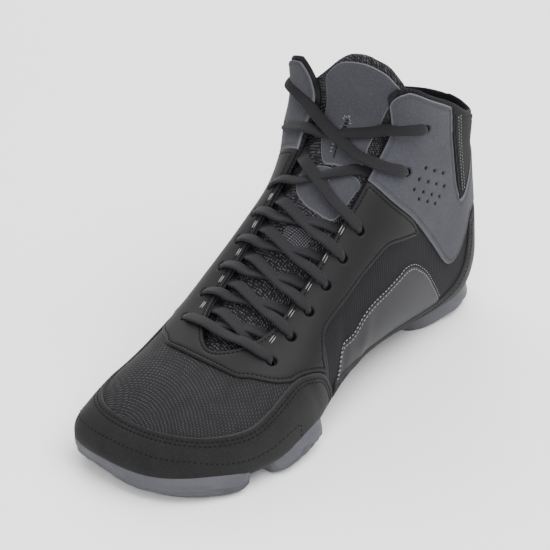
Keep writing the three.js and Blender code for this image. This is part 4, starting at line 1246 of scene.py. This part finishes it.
def sole_face(rib_from, tread_ends):
    """The rubber's outer face: ribs round its side, from that far forward, and grooves over its tread."""
    def outer(u, angle, depth):
        middle = last_point(u, angle)
        side = SOLE_SIDE + (INNER_SIDE - SOLE_SIDE) * smooth_step(-middle[:, 1], -10.0, 25.0)
        side = side * (1 - 0.7 * bell(middle[:, 0], LENGTH * 0.815, LENGTH * 0.04))
        high = last_point(u, angle, side, BED)
        ribbed = smooth_step(high[:, 0], rib_from, rib_from + 4)
        groove = sum(bell(high[:, 2], level, 0.75) for level in RIB_HEIGHTS) * RIB_DEPTH * ribbed
        point = last_point(u, angle, 0.3 + (side - 0.3 - groove) * rounded(depth, SOLE_EDGE), BED)
        shallow = last_point(u, angle, 0.3)
        blend = rounded(depth, SOLE_EDGE)[:, None]
        point = shallow + (point - shallow) * blend
        x = point[:, 0]
        phase = (x - tread_ends[0]) % TREAD_PITCH
        across = (smooth_step(phase, 0, 0.4) * (1 - smooth_step(phase, TREAD_WIDTH - 0.4, TREAD_WIDTH))
                  * (x > tread_ends[0]) * (x < tread_ends[1] + TREAD_PITCH / 2))
        floor = TREAD_DEPTH * across
        point[:, 2] = np.maximum(point[:, 2], floor)
        return point
    return outer


toe_sole, _ = cut_panel((-1, 6.7), (-112, 112), 0.8, [in_side_view(TOE_SOLE), off_notch],
    sole_face(LENGTH * 0.62, (LENGTH * 0.65, LENGTH * 0.93)), lambda u, a, d: last_point(u, a, 0.3))
finish_piece(toe_sole, "sole_forefoot", [rubber], ["forefoot_outsole"])
heel_sole, _ = cut_panel((8.6, 13.6), (-112, 112), 1.0, [in_side_view(HEEL_SOLE)],
    sole_face(-LENGTH, (LENGTH * 0.05, LENGTH * 0.22)), lambda u, a, d: last_point(u, a, 0.3))
finish_piece(heel_sole, "sole_heel", [rubber], ["heel_outsole"])

# Lace. One flat tubular polyester braid. It lies straight across the front row and then crosses up from
# side to side: out over each hole, across the tongue, under the far edge and up through the next hole.
LACE_WIDE = 6.8
LACE_THICK = 2.0
OVER = 2.5  # middle of the lace above the upper where it lies on a panel
UNDER = -3.5  # and where it passes between upper and tongue
LACE_LOW = -1.5  # in the middle of the tongue: the lower lace of two that cross, and the upper one
LACE_HIGH = 0.3


def lace_braid():
    """Flat braid: fine diagonal yarns that meet in a chevron down the middle, soft and matt."""
    YARN = 1.3
    material, tree, shader = new_material("flat_polyester_braid", Roughness=0.8,
                                          Specular_IOR_Level=0.2, Sheen_Weight=0.05)
    strap = put(tree, "ShaderNodeUVMap", uv_map="cloth_mm").outputs["UV"]
    parts = put(tree, "ShaderNodeSeparateXYZ", {"Vector": strap})
    across = put(tree, "ShaderNodeMath", {0: parts.outputs["X"]}, operation="ABSOLUTE").outputs["Value"]
    slant = put(tree, "ShaderNodeMath", {0: across, 1: 1.2, 2: parts.outputs["Y"]},
                operation="MULTIPLY_ADD").outputs["Value"]
    yarns = put(tree, "ShaderNodeMath", {0: slant, 1: 2 * math.pi / YARN}, operation="MULTIPLY")
    ribs = put(tree, "ShaderNodeMath", {0: yarns.outputs["Value"]}, operation="SINE").outputs["Value"]
    lift = put(tree, "ShaderNodeMapRange", {"Value": ribs, "From Min": -1.0}).outputs["Result"]
    shade = put(tree, "ShaderNodeMix", {"Factor": lift, "A": linear("#0c0b0e"),
                "B": linear("#201f23")}, data_type="RGBA").outputs["Result"]
    tree.links.new(shade, shader.inputs["Base Color"])
    bump = put(tree, "ShaderNodeBump", {"Height": lift, "Distance": 0.25 * MM, "Strength": 0.6})
    tree.links.new(bump.outputs["Normal"], shader.inputs["Normal"])
    return material


def crossing(start, end, over_start, over_end, middle):
    """Places (u, angle, lift) of a taut crossing between two holes, in a plane over the instep."""
    (u0, angle0), (u1, angle1) = start, end
    p0, p1 = last_point(u0, angle0, 1.0), last_point(u1, angle1, 1.0)
    ridge = last_point(max(u0, u1) + 0.5, 180.0) - last_point(min(u0, u1) - 0.5, 180.0)
    outward = np.cross(np.array([0.0, 1.0, 0.0]), ridge)
    upward = np.cross(p1 - p0, outward)
    if upward @ ridge < 0:
        upward = -upward
    angles = np.linspace(angle0 % 360, angle1 % 360, 25)
    low = np.full(25, min(u0, u1) - 3.0)
    high = np.full(25, min(max(u0, u1) + 3.0, LAST_SECTION))
    for _ in range(30):
        u = (low + high) / 2
        below = (last_point(u, angles, 1.0) - p0) @ upward < 0
        low, high = np.where(below, u, low), np.where(below, high, u)
    point = last_point(low, angles)
    near_edge = smooth_step(-in_throat(THROAT)(point), -9.0, -0.5)
    ends = np.where(np.arange(25) < 12.5, OVER if over_start else UNDER, OVER if over_end else UNDER)
    lift = middle + (ends - middle) * near_edge
    return np.stack([low, angles, lift], -1)


def through(hole, lifts):
    return np.array([[hole[0], hole[1] % 360, lift] for lift in lifts])


def half_lace(first_side):
    """From a hole of the front row up to the far ankle panel's top hole."""
    rows = [lateral_holes, medial_holes] if first_side > 0 else [medial_holes, lateral_holes]
    runs = [through(rows[0][0], (1.2, -1.0))]
    for i in range(7):
        here, there = rows[i % 2][i], rows[(i + 1) % 2][i + 1]
        from_lateral = (rows[i % 2] is lateral_holes)
        middle = LACE_HIGH if from_lateral else LACE_LOW
        last = i == 6
        path = crossing(here, there, over_start=i > 0, over_end=last, middle=middle)
        runs.append(path[1:-1])
        runs.append(through(there, (1.2, -1.0, -4.0) if last else (-1.0, 1.2)))
    return np.vstack(runs)


def smoothed(values, passes):
    for _ in range(passes):
        values[1:-1] = (values[:-2] + 2 * values[1:-1] + values[2:]) / 4
    return values


def add_lace(bm, places):
    """A flat strap with rounded edges that follows the places, narrower where it goes through a hole."""
    u, angle, lift = places.T
    path = last_point(u, angle, lift)
    out = outwards(u, angle)
    gone = np.concatenate([[0], np.cumsum(np.linalg.norm(np.diff(path, axis=0), axis=1))])
    keep = np.concatenate([[True], np.diff(gone) > 1e-3])
    path, out, gone = path[keep], out[keep], gone[keep]
    even = np.linspace(0, gone[-1], int(gone[-1] / 1.5))
    path = np.stack([np.interp(even, gone, path[:, k]) for k in range(3)], -1)
    out = np.stack([np.interp(even, gone, out[:, k]) for k in range(3)], -1)
    path = smoothed(path, 3)
    way = np.gradient(path, axis=0)
    way /= np.linalg.norm(way, axis=1, keepdims=True)
    side = np.cross(out, way)
    strength = np.linalg.norm(side, axis=1, keepdims=True)
    side = smoothed(side * strength, 6)
    side -= way * (side * way).sum(1, keepdims=True)
    side /= np.linalg.norm(side, axis=1, keepdims=True) + 1e-9
    up = np.cross(way, side)
    HOLE_WIDE, HOLE_THICK = 3.8, 2.1
    in_hole = np.min([np.linalg.norm(path - middle, axis=1) for middle in hole_points], axis=0)
    gather = smooth_step(in_hole, 2.0, 6.0)
    wide = (HOLE_WIDE + (LACE_WIDE - HOLE_WIDE) * gather)[:, None] / 2
    thick = (HOLE_THICK + (LACE_THICK - HOLE_THICK) * gather)[:, None] / 2
    AROUND = 14
    made = bmesh.ops.create_grid(bm, x_segments=len(path) - 1, y_segments=AROUND, size=0.5)["verts"]
    flat = np.array([v.co[:2] for v in made]) + 0.5
    index = np.rint(flat[:, 0] * (len(path) - 1)).astype(int)
    turn = flat[:, 1] * 2 * np.pi
    c, s = np.cos(turn), np.sin(turn)
    across = (np.sign(c) * np.abs(c) ** 0.6)[:, None]
    rise = (np.sign(s) * np.abs(s) ** 0.6)[:, None]
    places = path[index] + side[index] * across * wide[index] + up[index] * rise * thick[index]
    cloth = bm.loops.layers.uv.verify()
    spots = {}
    for vert, place, i, a in zip(made, places, index, across[:, 0]):
        spots[vert] = (a * LACE_WIDE / 2, even[i])
        vert.co = place
    for face in {f for v in made for f in v.link_faces}:
        for loop in face.loops:
            loop[cloth].uv = spots[loop.vert]
    bmesh.ops.remove_doubles(bm, verts=made, dist=0.001)


lace = bmesh.new()
lace.loops.layers.uv.new("cloth_mm")
front_bar = crossing(lateral_holes[0], medial_holes[0], True, True, 0.8)
add_lace(lace, np.vstack([half_lace(1)[::-1], front_bar[1:-1], half_lace(-1)]))
bmesh.ops.recalc_face_normals(lace, faces=lace.faces)
finish_piece(lace, "lace", [lace_braid()], ["lace_crossings"])

# Studio. A pale seamless floor, one large soft light over the shoe and two weaker ones beside it.
FLOOR = 3.0


def painted_board():
    """Matt white board: even, with the faintest mottling."""
    material, tree, shader = new_material("matt_white_board", Roughness=0.9)
    place = put(tree, "ShaderNodeTexCoord").outputs["Object"]
    mottle = put(tree, "ShaderNodeTexNoise", {"Vector": place, "Scale": 3.0}).outputs["Fac"]
    shade = put(tree, "ShaderNodeMix", {"Factor": mottle, "A": linear("#f4f4f4"),
                "B": linear("#f9f9f9")}, data_type="RGBA").outputs["Result"]
    tree.links.new(shade, shader.inputs["Base Color"])
    return material


floor_bm = bmesh.new()
bmesh.ops.create_grid(floor_bm, x_segments=4, y_segments=4, size=FLOOR)
floor_mesh = bpy.data.meshes.new("floor")
floor_bm.to_mesh(floor_mesh)
floor_bm.free()
floor_mesh.materials.append(painted_board())
floor = bpy.data.objects.new("floor", floor_mesh)
bpy.context.scene.collection.objects.link(floor)

LIGHTS = [
    ("key", (-0.1, 0.5, 1.3), 1.2, 34.0),
    ("side", (1.1, 0.7, 0.6), 0.9, 9.0),
    ("back", (-0.5, -0.9, 0.9), 1.0, 14.0),
]
for name, place, size, watts in LIGHTS:
    light = bpy.data.lights.new(name, "AREA")
    light.energy = watts
    light.size = size
    lamp = bpy.data.objects.new(name, light)
    lamp.location = place
    lamp.rotation_euler = (Vector(place) - VIEW_TARGET).to_track_quat("Z", "Y").to_euler()
    bpy.context.scene.collection.objects.link(lamp)
world = bpy.data.worlds.new("studio")
world.use_nodes = True
world.node_tree.nodes["Background"].inputs["Color"].default_value = linear("#ffffff")
world.node_tree.nodes["Background"].inputs["Strength"].default_value = 0.9
bpy.context.scene.world = world
